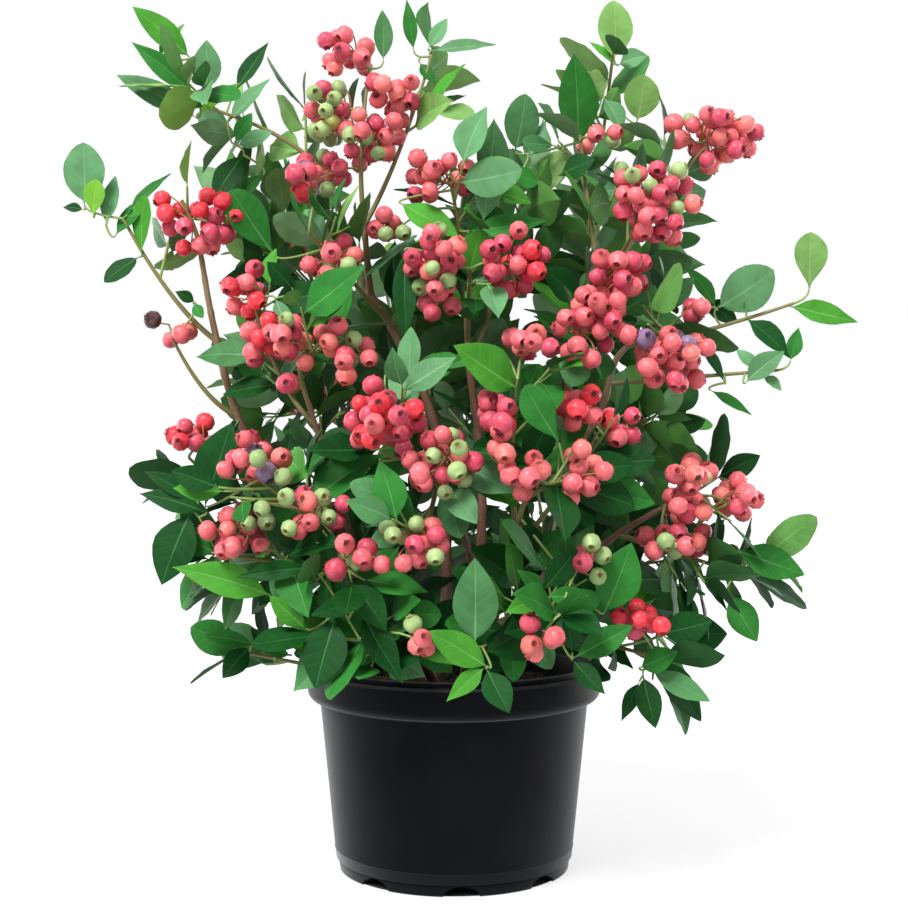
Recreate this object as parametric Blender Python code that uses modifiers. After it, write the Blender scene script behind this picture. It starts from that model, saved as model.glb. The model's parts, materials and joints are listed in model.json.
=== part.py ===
"""A pink-fruited blueberry bush in a black nursery pot.

The frame is in metres with +Z up. The origin is the middle of the pot's flat underside, +X is to the right
and the side that is seen first faces -Y. The tables give places in millimetres: across, behind, above.

Canes rise from the potting mix and boughs fork from the canes. Each spray is one stem that carries twigs,
leaves and fruit, and keeps within its reach of that stem. Stems are set first, then fruit, twigs and leaves,
and whatever would touch a limb, the pot or another spray is left out.
"""

import math
import random
from collections import namedtuple

import bmesh
import bpy
from mathutils import Matrix, Quaternion, Vector
from mathutils.bvhtree import BVHTree

MM = 0.001
UP = Vector((0, 0, 1))
GOLDEN_ANGLE = math.radians(137.5)
CLEARANCE = 0.0003
MERGE_DISTANCE = 0.00001

# The pot, a 19 cm container: a raised inner lip, a deep rolled rim, a tapered body and a skirt cut by arches.
POT_HEIGHT = 0.1372
LIP_RADIUS = 0.0925
LIP_ROUND = 0.0012
RIM_RADIUS = 0.0975
RIM_TOP_HEIGHT = 0.1330
RIM_FOOT_HEIGHT = 0.1125
RIM_ROLL = 0.0070
RIM_ROLL_TURNS = (0, math.radians(35), math.radians(70))
BODY_TOP_RADIUS = 0.0893
BODY_FOOT_RADIUS = 0.0788
SKIRT_RADIUS = 0.0772
SKIRT_HEIGHT = 0.0085
POT_FOOT_RADIUS = 0.0766
FOOT_ROUND = 0.0012
POT_WALL = 0.0016
FLOOR_THICKNESS = 0.0025
POT_STEPS = 40
ARCHES = 8
FIRST_ARCH = math.radians(3.5)
ARCH_WIDTH = 0.023
ARCH_HEIGHT = 0.0066
ARCH_DEPTH = 0.012
ARCH_STEPS = 12

# The potting mix: level round the canes and a little lower at the wall.
SOIL_TOP = 0.120
SOIL_LEVEL_RADIUS = 0.055
SOIL_EDGE_DROP = 0.004

# Canes and boughs.
LIMB_SIDES = 6
STEPS_A_SPAN = 2
STRAIGHT_FOOT = 0.006
FOOT_FLARE = 1.35

# Sprays. Leaves and fruit are fewer and larger than life, and each fruit stands for FRUIT_FOR_ONE.
TWIG_SIDES = 3
STEM_STEPS = 3
STEM_RADIUS = 0.0022
STEM_TIP_RADIUS = 0.0016
STRAIGHT_START = 0.004
LEAST_BRANCH_ANGLE = math.radians(40)
STEM_BEND = 0.35
STEM_BEND_ASIDE = 0.25
STEM_TRIES = 12
TWIG_RADIUS = 0.0014
TWIG_TIP_RADIUS = 0.0012
TWIG_ANGLE = math.radians(52)
TWIG_SHARE = 0.46
TWIG_LEAST = 0.85
TWIG_MOST = 1.1
TWIG_LIFT = 0.12
FIRST_TWIG = 0.35
TWIGS_OVER = 0.6
TURNS_A_TWIG = 2.4
LEAF_ANGLE = math.radians(55)
LEAF_END_ANGLE = LEAF_ANGLE / 3
LEAF_NEXT_TRY = math.radians(50)
BARE_STEM = 0.5
LEAF_SPACING = 0.025
LEAF_LENGTH = 0.076
LEAF_WIDTH_SHARE = 0.58
LEAF_WIDEST = 0.42
LEAF_THICKNESS = 0.0015
LEAF_ROOT_DEPTH = 0.0004
LEAF_DROOP = 0.06
LEAF_TURNED_UP = 0.7
LEAF_LEAST = 0.80
LEAF_MOST = 1.10
LEAF_ROLL = math.radians(30)
FRUIT_RADIUS = 0.0094
FRUIT_FOR_ONE = 6.0
FRUIT_STALK_RADIUS = 0.0011
FRUIT_OFF_STALK = 0.62
FRUIT_MOST_OFF = 0.75
TRUSS_LEAST = 1.5
ROOM = 0.0006
TRIES = 6
SEATING_STEPS = 6
UPRIGHT = 0.95

BARK = ((0.16, 0.075, 0.04, 1), 0.75)
FOLIAGE = ((0.045, 0.16, 0.04, 1), 0.5)
POT_PLASTIC = ((0.012, 0.012, 0.014, 1), 0.42)
POTTING_MIX = ((0.020, 0.013, 0.009, 1), 0.95)

Limb = namedtuple("Limb", "parent fork foot_radius tip_radius knots")
Spray = namedtuple("Spray", "limb along tip reach twigs")
Truss = namedtuple("Truss", "middle half_width half_height fruit")
Grown = namedtuple("Grown", "line radii tree")

# A cane's first knot is its place on the mix. A bough forks from its parent at the height called fork.
LIMBS = {
    "cane_left": Limb(
        None, None, 4.2, 1.7,
        [(-24, -4), (-62, -8, 185), (-112, -14, 248), (-142, -20, 302), (-157, -22, 360), (-165, -25, 408)],
    ),
    "cane_crest": Limb(
        None, None, 4.6, 1.8,
        [(-9, 8), (-5, 14, 200), (-12, 14, 290), (-40, 12, 356), (-62, 11, 393), (-78, 10, 444)],
    ),
    "cane_centre": Limb(
        None, None, 4.2, 1.8,
        [(7, -8), (17, -8, 200), (18, -6, 270), (10, -5, 335), (8, -10, 383)],
    ),
    "cane_right": Limb(
        None, None, 4.8, 1.8,
        [(17, 6), (45, 2, 172), (78, -1, 235), (80, -2, 290), (76, 0, 338), (97, -6, 384), (116, -10, 414)],
    ),
    "cane_low_right": Limb(
        None, None, 3.8, 1.6,
        [(27, -10), (62, -22, 176), (98, -34, 218), (136, -44, 243)],
    ),
    "cane_front_left": Limb(
        None, None, 3.6, 1.6,
        [(-14, -18), (-32, -46, 165), (-56, -76, 204), (-78, -92, 228)],
    ),
    "cane_front_right": Limb(
        None, None, 3.6, 1.6,
        [(11, -24), (24, -52, 165), (34, -84, 208), (40, -104, 240)],
    ),
    "cane_back_left": Limb(None, None, 4.2, 1.7, [(-16, 22), (-46, 56, 205), (-78, 84, 300), (-96, 98, 372)]),
    "cane_back_right": Limb(None, None, 4.2, 1.7, [(13, 25), (42, 62, 205), (72, 92, 296), (88, 104, 372)]),
    "bough_crest_fork": Limb("cane_crest", 382, 2.6, 1.6, [(-58, -6, 410), (-60, -12, 436)]),
    "bough_right_fork": Limb("cane_right", 276, 2.8, 1.6, [(98, -6, 306), (106, -12, 336), (120, -18, 352)]),
    "bough_inner_left": Limb("cane_front_left", 205, 2.4, 1.5, [(-76, -68, 262), (-94, -70, 318)]),
    "bough_centre_front": Limb("cane_centre", 186, 2.6, 1.5, [(2, -46, 236), (-16, -82, 262)]),
    "bough_back_low": Limb("cane_back_left", 160, 2.6, 1.5, [(-24, 96, 190), (-4, 122, 214)]),
}

# Each spray leaves its limb at a share of the limb's length, and its stem ends at tip.
# Its leaves stay within reach of the stem.
SPRAYS = {
    "spray_upper_left": Spray("cane_crest", 1.0, (-186, 6, 512), 64, 3),
    "spray_crest": Spray("bough_crest_fork", 1.0, (-56, -4, 530), 52, 2),
    "spray_crest_right": Spray("bough_crest_fork", 0.8, (-14, 10, 545), 52, 2),
    "spray_heart": Spray("cane_centre", 1.0, (-2, -24, 450), 58, 2),
    "spray_heart_back": Spray("cane_centre", 0.80, (50, 40, 466), 68, 3),
    "spray_left_shoulder": Spray("cane_crest", 0.70, (-92, -54, 416), 60, 2),
    "spray_left_truss": Spray("cane_left", 1.0, (-176, -30, 440), 50, 2),
    "spray_left_shoot": Spray("cane_left", 0.80, (-214, -30, 428), 62, 2),
    "spray_left_spur": Spray("cane_left", 0.66, (-182, -30, 350), 40, 1),
    "spray_left_chain": Spray("bough_inner_left", 0.80, (-126, -62, 372), 54, 2),
    "spray_left_heart": Spray("bough_inner_left", 1.0, (-76, -88, 350), 60, 2),
    "spray_left_side": Spray("cane_left", 0.38, (-170, -44, 274), 66, 3),
    "spray_left_middle": Spray("cane_front_left", 1.0, (-118, -104, 262), 62, 2),
    "spray_low_left": Spray("cane_front_left", 0.72, (-146, -84, 216), 68, 3),
    "spray_front_left": Spray("cane_front_left", 0.86, (-64, -124, 216), 60, 2),
    "spray_front_middle": Spray("bough_centre_front", 0.86, (-18, -128, 226), 60, 2),
    "spray_middle_left": Spray("bough_centre_front", 1.0, (-40, -108, 300), 58, 2),
    "spray_middle": Spray("bough_centre_front", 0.94, (-4, -126, 276), 54, 2),
    "spray_centre": Spray("cane_centre", 0.86, (10, -66, 392), 60, 2),
    "spray_middle_right": Spray("cane_front_right", 0.90, (38, -112, 322), 58, 2),
    "spray_front_right": Spray("cane_front_right", 1.0, (62, -138, 262), 60, 2),
    "spray_right_heart": Spray("cane_right", 0.70, (92, -72, 366), 60, 2),
    "spray_right_middle": Spray("bough_right_fork", 1.0, (134, -76, 340), 58, 2),
    "spray_right_shoulder": Spray("cane_right", 0.93, (124, -50, 434), 58, 2),
    "spray_right_crest": Spray("cane_right", 1.0, (166, -20, 478), 58, 2),
    "spray_upper_right": Spray("cane_right", 0.86, (84, 6, 488), 66, 3),
    "spray_top": Spray("cane_back_right", 1.0, (108, 26, 546), 62, 2),
    "spray_right_shoot": Spray("bough_right_fork", 0.88, (222, -20, 374), 62, 2),
    "spray_right_low_shoot": Spray("bough_right_fork", 0.50, (210, -30, 330), 52, 2),
    "spray_right_inner": Spray("cane_front_right", 0.80, (94, -100, 294), 58, 2),
    "spray_right_truss": Spray("cane_low_right", 1.0, (160, -60, 250), 56, 2),
    "spray_right_side": Spray("cane_low_right", 0.80, (184, -66, 200), 66, 2),
    "spray_low_right": Spray("cane_low_right", 0.44, (130, -84, 150), 64, 2),
    "spray_front_low_right": Spray("cane_front_right", 0.52, (62, -136, 184), 66, 3),
    "spray_front_low_left": Spray("cane_front_left", 0.42, (-56, -122, 168), 66, 3),
    "spray_low_left_twig": Spray("cane_left", 0.12, (-140, -22, 146), 46, 2),
    "spray_back_left": Spray("cane_back_left", 1.0, (-120, 92, 450), 84, 4),
    "spray_back_left_middle": Spray("cane_back_left", 0.72, (-128, 102, 330), 84, 4),
    "spray_back_left_low": Spray("cane_back_left", 0.40, (-126, 94, 210), 82, 3),
    "spray_back_middle": Spray("bough_back_low", 1.0, (-6, 160, 330), 86, 4),
    "spray_back_low": Spray("bough_back_low", 0.72, (-12, 150, 196), 76, 3),
    "spray_back_right": Spray("cane_back_right", 0.80, (122, 100, 420), 84, 4),
    "spray_back_right_middle": Spray("cane_back_right", 0.62, (134, 96, 300), 84, 4),
    "spray_back_right_low": Spray("cane_back_right", 0.36, (150, 80, 200), 80, 3),
}

# Where the fruit hangs on a spray: the middle of each truss, its half width and half height, and its berries.
TRUSSES = {
    "spray_crest": [
        Truss((-60, -2, 536), 26, 18, 12),
        Truss((-82, -4, 496), 16, 30, 12),
        Truss((-50, -6, 500), 20, 26, 16),
    ],
    "spray_heart": [Truss((-9, -22, 455), 30, 16, 12), Truss((-43, -30, 424), 15, 13, 5)],
    "spray_left_shoulder": [Truss((-80, -52, 400), 18, 18, 9), Truss((-95, -30, 450), 9, 16, 5)],
    "spray_left_truss": [Truss((-168, -30, 428), 29, 25, 14)],
    "spray_left_spur": [Truss((-181, -28, 356), 12, 12, 3)],
    "spray_left_chain": [Truss((-130, -56, 380), 15, 20, 7), Truss((-118, -62, 348), 15, 20, 7)],
    "spray_left_heart": [
        Truss((-96, -86, 344), 20, 18, 8),
        Truss((-62, -88, 341), 20, 18, 8),
        Truss((-100, -86, 319), 9, 9, 2),
    ],
    "spray_left_side": [Truss((-168, -44, 286), 18, 15, 6)],
    "spray_left_middle": [Truss((-119, -96, 273), 25, 18, 14)],
    "spray_low_left": [Truss((-133, -96, 230), 23, 17, 8)],
    "spray_front_left": [Truss((-92, -118, 244), 27, 16, 10), Truss((-61, -126, 216), 18, 14, 6)],
    "spray_front_middle": [Truss((-23, -134, 228), 21, 22, 12)],
    "spray_middle_left": [Truss((-38, -112, 298), 24, 21, 21)],
    "spray_middle": [Truss((-8, -130, 275), 25, 19, 19)],
    "spray_centre": [Truss((-9, -70, 391), 22, 31, 17), Truss((36, -70, 397), 24, 21, 18)],
    "spray_middle_right": [Truss((45, -104, 343), 16, 11, 6), Truss((26, -120, 301), 13, 17, 9)],
    "spray_front_right": [Truss((38, -140, 268), 20, 18, 7), Truss((74, -140, 266), 18, 20, 7)],
    "spray_right_heart": [Truss((84, -80, 354), 25, 26, 18), Truss((101, -62, 388), 20, 16, 12)],
    "spray_right_middle": [Truss((130, -80, 336), 28, 18, 22), Truss((152, -60, 366), 11, 7, 3)],
    "spray_right_shoulder": [Truss((122, -52, 436), 29, 31, 26)],
    "spray_right_crest": [Truss((166, -22, 480), 33, 23, 22)],
    "spray_upper_right": [Truss((96, -8, 486), 15, 8, 3)],
    "spray_right_inner": [Truss((100, -102, 294), 14, 12, 5), Truss((72, -102, 304), 22, 12, 9)],
    "spray_right_truss": [Truss((149, -62, 246), 24, 25, 14), Truss((178, -62, 247), 22, 22, 14)],
    "spray_front_low_right": [Truss((80, -130, 215), 10, 11, 4), Truss((52, -148, 169), 17, 13, 4)],
    "spray_low_right": [Truss((113, -100, 176), 16, 15, 7)],
    "spray_front_low_left": [Truss((-21, -140, 170), 10, 13, 3)],
    "spray_back_left": [Truss((-100, 112, 424), 26, 24, 15)],
    "spray_back_left_middle": [Truss((-112, 120, 322), 26, 24, 15)],
    "spray_back_middle": [Truss((-14, 160, 316), 26, 24, 15)],
    "spray_back_right": [Truss((104, 112, 402), 26, 24, 15)],
    "spray_back_right_middle": [Truss((118, 114, 296), 26, 24, 15)],
    "spray_back_low": [Truss((-24, 160, 220), 22, 20, 10)],
}


def main():
    clear_scene()
    parts = new_collection("blueberry_bush")
    cutters = new_collection("arch_cutters")
    fixed = [make_pot(parts, cutters), make_potting_mix(parts)]
    limbs = make_limbs(parts)
    make_sprays(parts, fixed, limbs)


def clear_scene():
    for obj in list(bpy.data.objects):
        bpy.data.objects.remove(obj)


def new_collection(name):
    collection = bpy.data.collections.new(name)
    bpy.context.scene.collection.children.link(collection)
    return collection


def new_object(name, mesh, collection, finish):
    obj = bpy.data.objects.new(name, mesh)
    collection.objects.link(obj)
    obj.data.materials.clear()
    obj.data.materials.append(new_material(name, finish))
    return obj


def new_material(name, finish):
    colour, roughness = finish
    material = bpy.data.materials.new(name)
    material.use_nodes = True
    shader = material.node_tree.nodes["Principled BSDF"]
    shader.inputs["Base Color"].default_value = colour
    shader.inputs["Roughness"].default_value = roughness
    material.diffuse_color = colour
    return material


def mesh_of(shape, name):
    """The mesh of a bmesh, which is freed."""
    mesh = bpy.data.meshes.new(name)
    shape.to_mesh(mesh)
    shape.free()
    return mesh


def turned(name, profile, collection, finish):
    """A solid turned about the pot's axis from its (radius, height) profile, run down its outer side."""
    shape = bmesh.new()
    points = [shape.verts.new((radius, 0, height)) for radius, height in profile]
    for start, end in zip(points, points[1:]):
        shape.edges.new((start, end))
    obj = new_object(name, mesh_of(shape, name), collection, finish)
    screw = obj.modifiers.new("turn", "SCREW")
    screw.steps = screw.render_steps = POT_STEPS
    screw.use_merge_vertices = True
    screw.merge_threshold = MERGE_DISTANCE
    return obj


def body_radius(height):
    """The outer radius of the pot's tapered body."""
    share = (height - SKIRT_HEIGHT) / (RIM_FOOT_HEIGHT - SKIRT_HEIGHT)
    return BODY_FOOT_RADIUS + share * (BODY_TOP_RADIUS - BODY_FOOT_RADIUS)


def make_pot(parts, cutters):
    roll_middle = (RIM_RADIUS - RIM_ROLL, RIM_FOOT_HEIGHT + RIM_ROLL)
    roll = [
        (roll_middle[0] + RIM_ROLL * math.cos(turn), roll_middle[1] - RIM_ROLL * math.sin(turn))
        for turn in RIM_ROLL_TURNS
    ]
    profile = [
        (0, FLOOR_THICKNESS),
        (POT_FOOT_RADIUS - POT_WALL, FLOOR_THICKNESS),
        (body_radius(SKIRT_HEIGHT) - POT_WALL, SKIRT_HEIGHT),
        (body_radius(RIM_FOOT_HEIGHT) - POT_WALL, RIM_FOOT_HEIGHT),
        (LIP_RADIUS - LIP_ROUND, POT_HEIGHT - LIP_ROUND),
        (LIP_RADIUS, POT_HEIGHT),
        (LIP_RADIUS + LIP_ROUND, POT_HEIGHT - LIP_ROUND),
        (RIM_RADIUS - LIP_ROUND, RIM_TOP_HEIGHT + LIP_ROUND),
        (RIM_RADIUS, RIM_TOP_HEIGHT),
        *roll,
        (body_radius(RIM_FOOT_HEIGHT), RIM_FOOT_HEIGHT),
        (BODY_FOOT_RADIUS, SKIRT_HEIGHT),
        (SKIRT_RADIUS, SKIRT_HEIGHT - POT_WALL / 2),
        (POT_FOOT_RADIUS, FOOT_ROUND),
        (POT_FOOT_RADIUS - FOOT_ROUND, 0),
        (0, 0),
    ]
    pot = turned("pot", profile, parts, POT_PLASTIC)
    for number in range(ARCHES):
        arch_cutter(f"arch_cutter_{number + 1}", FIRST_ARCH + number * math.tau / ARCHES, cutters)
    cut = pot.modifiers.new("arches", "BOOLEAN")
    cut.operation = "DIFFERENCE"
    cut.operand_type = "COLLECTION"
    cut.collection = cutters
    pot.data.shade_smooth()
    return pot


def arch_cutter(name, turn, cutters):
    """A round-topped bar that lies across the foot of the wall, at an angle from the front."""
    shape = bmesh.new()
    bmesh.ops.create_cone(
        shape, cap_ends=True, segments=ARCH_STEPS, radius1=1, radius2=1, depth=2 * ARCH_DEPTH,
        matrix=Matrix.Rotation(math.pi / 2, 4, "X"),
    )
    bmesh.ops.scale(shape, vec=(ARCH_WIDTH / 2, 1, ARCH_HEIGHT), verts=shape.verts)
    bmesh.ops.translate(shape, vec=(0, -SKIRT_RADIUS, 0), verts=shape.verts)
    bmesh.ops.rotate(shape, cent=(0, 0, 0), matrix=Matrix.Rotation(turn, 3, "Z"), verts=shape.verts)
    cutter = new_object(name, mesh_of(shape, name), cutters, POT_PLASTIC)
    cutter.hide_render = True
    cutter.display_type = "WIRE"


def make_potting_mix(parts):
    edge_height = SOIL_TOP - SOIL_EDGE_DROP
    inside = POT_WALL + CLEARANCE
    wall_slope = (LIP_RADIUS - LIP_ROUND - body_radius(RIM_FOOT_HEIGHT) + POT_WALL) / (
        POT_HEIGHT - LIP_ROUND - RIM_FOOT_HEIGHT
    )
    edge_radius = body_radius(RIM_FOOT_HEIGHT) - inside + wall_slope * (edge_height - RIM_FOOT_HEIGHT)
    profile = [
        (0, SOIL_TOP),
        (SOIL_LEVEL_RADIUS, SOIL_TOP),
        (edge_radius, edge_height),
        (body_radius(RIM_FOOT_HEIGHT) - inside, RIM_FOOT_HEIGHT),
        (body_radius(SKIRT_HEIGHT) - inside, SKIRT_HEIGHT),
        (POT_FOOT_RADIUS - inside, FLOOR_THICKNESS + CLEARANCE),
        (0, FLOOR_THICKNESS + CLEARANCE),
    ]
    return turned("potting_mix", profile, parts, POTTING_MIX)


def smooth_line(knots, steps):
    """Points along a smooth curve through the knots, with so many steps from each knot to the next."""
    padded = [2 * knots[0] - knots[1], *knots, 2 * knots[-1] - knots[-2]]
    line = []
    for before, start, end, after in zip(padded, padded[1:], padded[2:], padded[3:]):
        for step in range(steps):
            share = step / steps
            line.append(
                start
                + (end - before) * share / 2
                + (2 * before - 5 * start + 4 * end - after) * share**2 / 2
                + (3 * start - before - 3 * end + after) * share**3 / 2
            )
    return [*line, knots[-1]]


def ring(sides):
    """The section that is drawn along a limb or a stem: a closed ring of unit radius."""
    curve = bpy.data.curves.new("ring", "CURVE")
    spline = curve.splines.new("POLY")
    spline.points.add(sides - 1)
    for number, point in enumerate(spline.points):
        turn = -number * math.tau / sides
        point.co = (math.cos(turn), math.sin(turn), 0, 1)
    spline.use_cyclic_u = True
    return bpy.data.objects.new("ring", curve)


def tube(line, radii, sides):
    """A closed tube along a line of points, with a radius for each, as a bmesh."""
    curve = bpy.data.curves.new("tube", "CURVE")
    curve.dimensions = "3D"
    curve.bevel_mode = "OBJECT"
    curve.bevel_object = ring(sides)
    curve.use_fill_caps = True
    spline = curve.splines.new("POLY")
    spline.points.add(len(line) - 1)
    for point, place, radius in zip(spline.points, line, radii):
        point.co = (*place, 1)
        point.radius = radius
    guide = bpy.data.objects.new("tube", curve)
    bpy.context.scene.collection.objects.link(guide)
    graph = bpy.context.evaluated_depsgraph_get()
    mesh = bpy.data.meshes.new_from_object(guide.evaluated_get(graph))
    bpy.data.objects.remove(curve.bevel_object)
    bpy.data.objects.remove(guide)
    shape = bmesh.new()
    shape.from_mesh(mesh)
    bpy.data.meshes.remove(mesh)
    bmesh.ops.remove_doubles(shape, verts=shape.verts, dist=MERGE_DISTANCE)
    return shape


def tapered(line, first, last):
    """Radii that fall evenly from the first to the last point of a line."""
    return [first + (last - first) * number / (len(line) - 1) for number in range(len(line))]


def make_limbs(parts):
    """Builds the canes and boughs, and gives the line, radii and tree of faces of each by its name."""
    limbs = {}
    for name, limb in LIMBS.items():
        knots = [Vector(knot) * MM for knot in limb.knots if len(knot) == 3]
        if limb.parent:
            knots.insert(0, fork_start(limbs[limb.parent], limb, knots[0]))
            line = smooth_line(knots, STEPS_A_SPAN)
            radii = tapered(line, limb.foot_radius * MM, limb.tip_radius * MM)
        else:
            foot = Vector((*limb.knots[0], 0)) * MM + UP * (SOIL_TOP + CLEARANCE)
            line = [foot, *smooth_line([foot + UP * STRAIGHT_FOOT, *knots], STEPS_A_SPAN)]
            radii = tapered(line, limb.foot_radius * MM, limb.tip_radius * MM)
            radii[0] *= FOOT_FLARE
        shape = tube(line, radii, LIMB_SIDES)
        limbs[name] = Grown(line, radii, BVHTree.FromBMesh(shape))
        new_object(name, mesh_of(shape, name), parts, BARK)
    return limbs


def fork_start(parent, limb, towards):
    """Where a bough begins, just clear of its parent's bark."""
    height = limb.fork * MM
    number = next(number for number, point in enumerate(parent.line) if point.z > height)
    below, over = parent.line[number - 1], parent.line[number]
    middle = below.lerp(over, (height - below.z) / (over.z - below.z))
    return side_start(parent, middle, over - below, towards - middle, limb.foot_radius * MM, LIMB_SIDES)


def side_start(limb, middle, axis, direction, radius, sides):
    """Where a branch starts beside a limb: moved in until its flat end just clears the bark."""
    direction = direction.normalized()
    start = middle + direction * (limb.radii[0] + 2 * radius) / math.sin(direction.angle(axis))
    stub = tube([start, start + direction * STRAIGHT_START], [radius, radius], sides)
    near = [point for point in stub.verts if (point.co - start).dot(direction) < STRAIGHT_START / 2]
    corners = [point.co.copy() for point in near]
    stub.free()
    samples = [start] + [(one + other) / 2 for one in corners for other in corners]
    for _ in range(SEATING_STEPS):
        gap = min(limb.tree.find_nearest(sample)[3] for sample in samples)
        samples = [sample - direction * (gap - CLEARANCE) for sample in samples]
    return samples[0]


def along(line, share):
    """The point at a share of a line's steps, and the line's direction there."""
    place = share * (len(line) - 1)
    number = min(int(place), len(line) - 2)
    return line[number].lerp(line[number + 1], place - number), (line[number + 1] - line[number]).normalized()


def nearest(lines, point):
    """The point nearest to a place on any of several lines."""
    best = None
    for line in lines:
        for start, end in zip(line, line[1:]):
            run = end - start
            share = min(1, max(0, (point - start).dot(run) / run.length_squared))
            spot = start + run * share
            if best is None or (spot - point).length < (best - point).length:
                best = spot
    return best


class Growth:
    """One spray as it grows: its wood as lines of points, and its pieces as bmeshes that are fused later."""

    def __init__(self, name, spray, limbs):
        self.name = name
        self.spray = spray
        self.random = random.Random(name)
        self.tip = Vector(spray.tip) * MM
        self.reach = spray.reach * MM
        self.start, self.heading = self.stem_start(limbs)
        self.wood = []
        self.pieces = []

    def stem_start(self, limbs):
        """Where the stem begins and its heading, from the limb's tip or from its side."""
        limb = limbs[self.spray.limb]
        middle, axis = along(limb.line, self.spray.along)
        if self.spray.along == 1.0:
            return middle + axis * CLEARANCE, axis
        towards = self.tip - middle
        lean = towards.angle(axis)
        if lean < LEAST_BRANCH_ANGLE:
            towards = Quaternion(axis.cross(towards), LEAST_BRANCH_ANGLE) @ axis
        return side_start(limb, middle, axis, towards, STEM_RADIUS, TWIG_SIDES), towards.normalized()

    def within(self, point):
        """Whether a point is inside the spray's own space."""
        return (nearest([[self.start, self.tip]], point) - point).length <= self.reach

    def keep(self, piece, kind, room):
        self.pieces.append(piece)
        room.append((self.name, kind, BVHTree.FromBMesh(piece)))


def clear_of(piece, room, allowed):
    """Whether a piece, swollen by ROOM, touches only what is allowed, given as pairs of owner and kind."""
    swollen = piece.copy()
    swollen.normal_update()
    for point in swollen.verts:
        point.co += point.normal * ROOM
    tree = BVHTree.FromBMesh(swollen)
    swollen.free()
    return not any(tree.overlap(other) for owner, kind, other in room if (owner, kind) not in allowed)


def make_sprays(parts, fixed, limbs):
    graph = bpy.context.evaluated_depsgraph_get()
    room = [(solid.name, "solid", BVHTree.FromObject(solid, graph)) for solid in fixed]
    room += [(name, "solid", limb.tree) for name, limb in limbs.items()]
    growths = [Growth(name, spray, limbs) for name, spray in SPRAYS.items()]
    for step in (set_stem, set_fruit, set_twigs, set_leaves):
        for growth in growths:
            step(growth, room)
    for growth in growths:
        fuse(growth, parts)


def set_stem(growth, room):
    """Bends the stem from its limb to its tip, and turns the bend about until it is clear."""
    run = growth.tip - growth.start
    out = growth.start + growth.heading * STRAIGHT_START
    sideways = run.orthogonal().normalized() * run.length * STEM_BEND_ASIDE
    allowed = {(growth.spray.limb, "solid")}
    for attempt in range(STEM_TRIES):
        bend = out + growth.heading * run.length * STEM_BEND
        if attempt:
            bend += Quaternion(run, attempt * GOLDEN_ANGLE) @ sideways
        line = [growth.start]
        for step in range(STEM_STEPS + 1):
            share = step / STEM_STEPS
            line.append(out * (1 - share) ** 2 + bend * 2 * share * (1 - share) + growth.tip * share**2)
        stem = tube(line, tapered(line, STEM_RADIUS, STEM_TIP_RADIUS), TWIG_SIDES)
        if clear_of(stem, room, allowed):
            growth.wood.append(line)
            growth.keep(stem, "wood", room)
            return
        stem.free()
    raise ValueError(f"{growth.name} has no clear way for its stem")


def rod(start, end, radius, end_radius):
    """A straight three-sided twig as a bmesh."""
    run = end - start
    place = Matrix.Translation((start + end) / 2) @ run.to_track_quat("Z", "Y").to_matrix().to_4x4()
    shape = bmesh.new()
    bmesh.ops.create_cone(
        shape, cap_ends=True, segments=TWIG_SIDES, radius1=radius, radius2=end_radius, depth=run.length,
        matrix=place,
    )
    return shape


def set_fruit(growth, room):
    """Hangs each truss: berries round a stalk that comes from the wood, or is tied to the wood beside it."""
    allowed = {(growth.name, "wood"), (growth.name, "fruit")}
    for truss in TRUSSES.get(growth.name, []):
        middle = Vector(truss.middle) * MM
        foot = nearest(growth.wood, middle)
        half = truss_half(truss)
        start, first = middle - half, middle - half
        if (middle - foot).length > half.length + STEM_RADIUS:
            half = (middle - foot).normalized() * half.length
            start, first = foot, middle - half
        elif (middle - foot).length > STEM_RADIUS:
            set_stalk(growth, room, foot, middle, allowed)
        set_stalk(growth, room, start, middle + half, allowed)
        count = max(1, round(truss.fruit / FRUIT_FOR_ONE))
        for number in range(count):
            share = (number + 0.5) / count
            side = branch_direction(half.normalized(), math.pi / 2, number * GOLDEN_ANGLE)
            spot = first.lerp(middle + half, share) + side * FRUIT_RADIUS * FRUIT_OFF_STALK
            set_berry(growth, room, spot, allowed)


def truss_half(truss):
    """From the middle of a truss to the end of its stalk, along its longer side."""
    width, height = truss.half_width * MM, truss.half_height * MM
    length = max(width, height, FRUIT_RADIUS * TRUSS_LEAST) - FRUIT_RADIUS
    return Vector((length, 0, 0)) if width > height else Vector((0, 0, length))


def set_stalk(growth, room, start, end, allowed):
    stalk = rod(start, end, FRUIT_STALK_RADIUS, FRUIT_STALK_RADIUS)
    if clear_of(stalk, room, allowed):
        growth.wood.append([start, end])
        growth.keep(stalk, "wood", room)
    else:
        stalk.free()


def set_berry(growth, room, middle, allowed):
    turn = Quaternion((growth.random.random(), growth.random.random(), 1), growth.random.uniform(0, math.tau))
    berry = bmesh.new()
    place = Matrix.LocRotScale(middle, turn, Vector((FRUIT_RADIUS,) * 3))
    bmesh.ops.create_icosphere(berry, subdivisions=1, radius=1, matrix=place)
    touches_wood = (nearest(growth.wood, middle) - middle).length < FRUIT_RADIUS * FRUIT_MOST_OFF
    if touches_wood and clear_of(berry, room, allowed):
        growth.keep(berry, "fruit", room)
    else:
        berry.free()


def branch_direction(axis, angle, turn):
    """A direction that leans from an axis by an angle, turned round it from its lower side."""
    sideways = axis.orthogonal().normalized() if abs(axis.z) > UPRIGHT else axis.cross(UP).normalized()
    leaning = Quaternion(sideways, angle) @ axis
    return Quaternion(axis, turn) @ leaning


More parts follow.
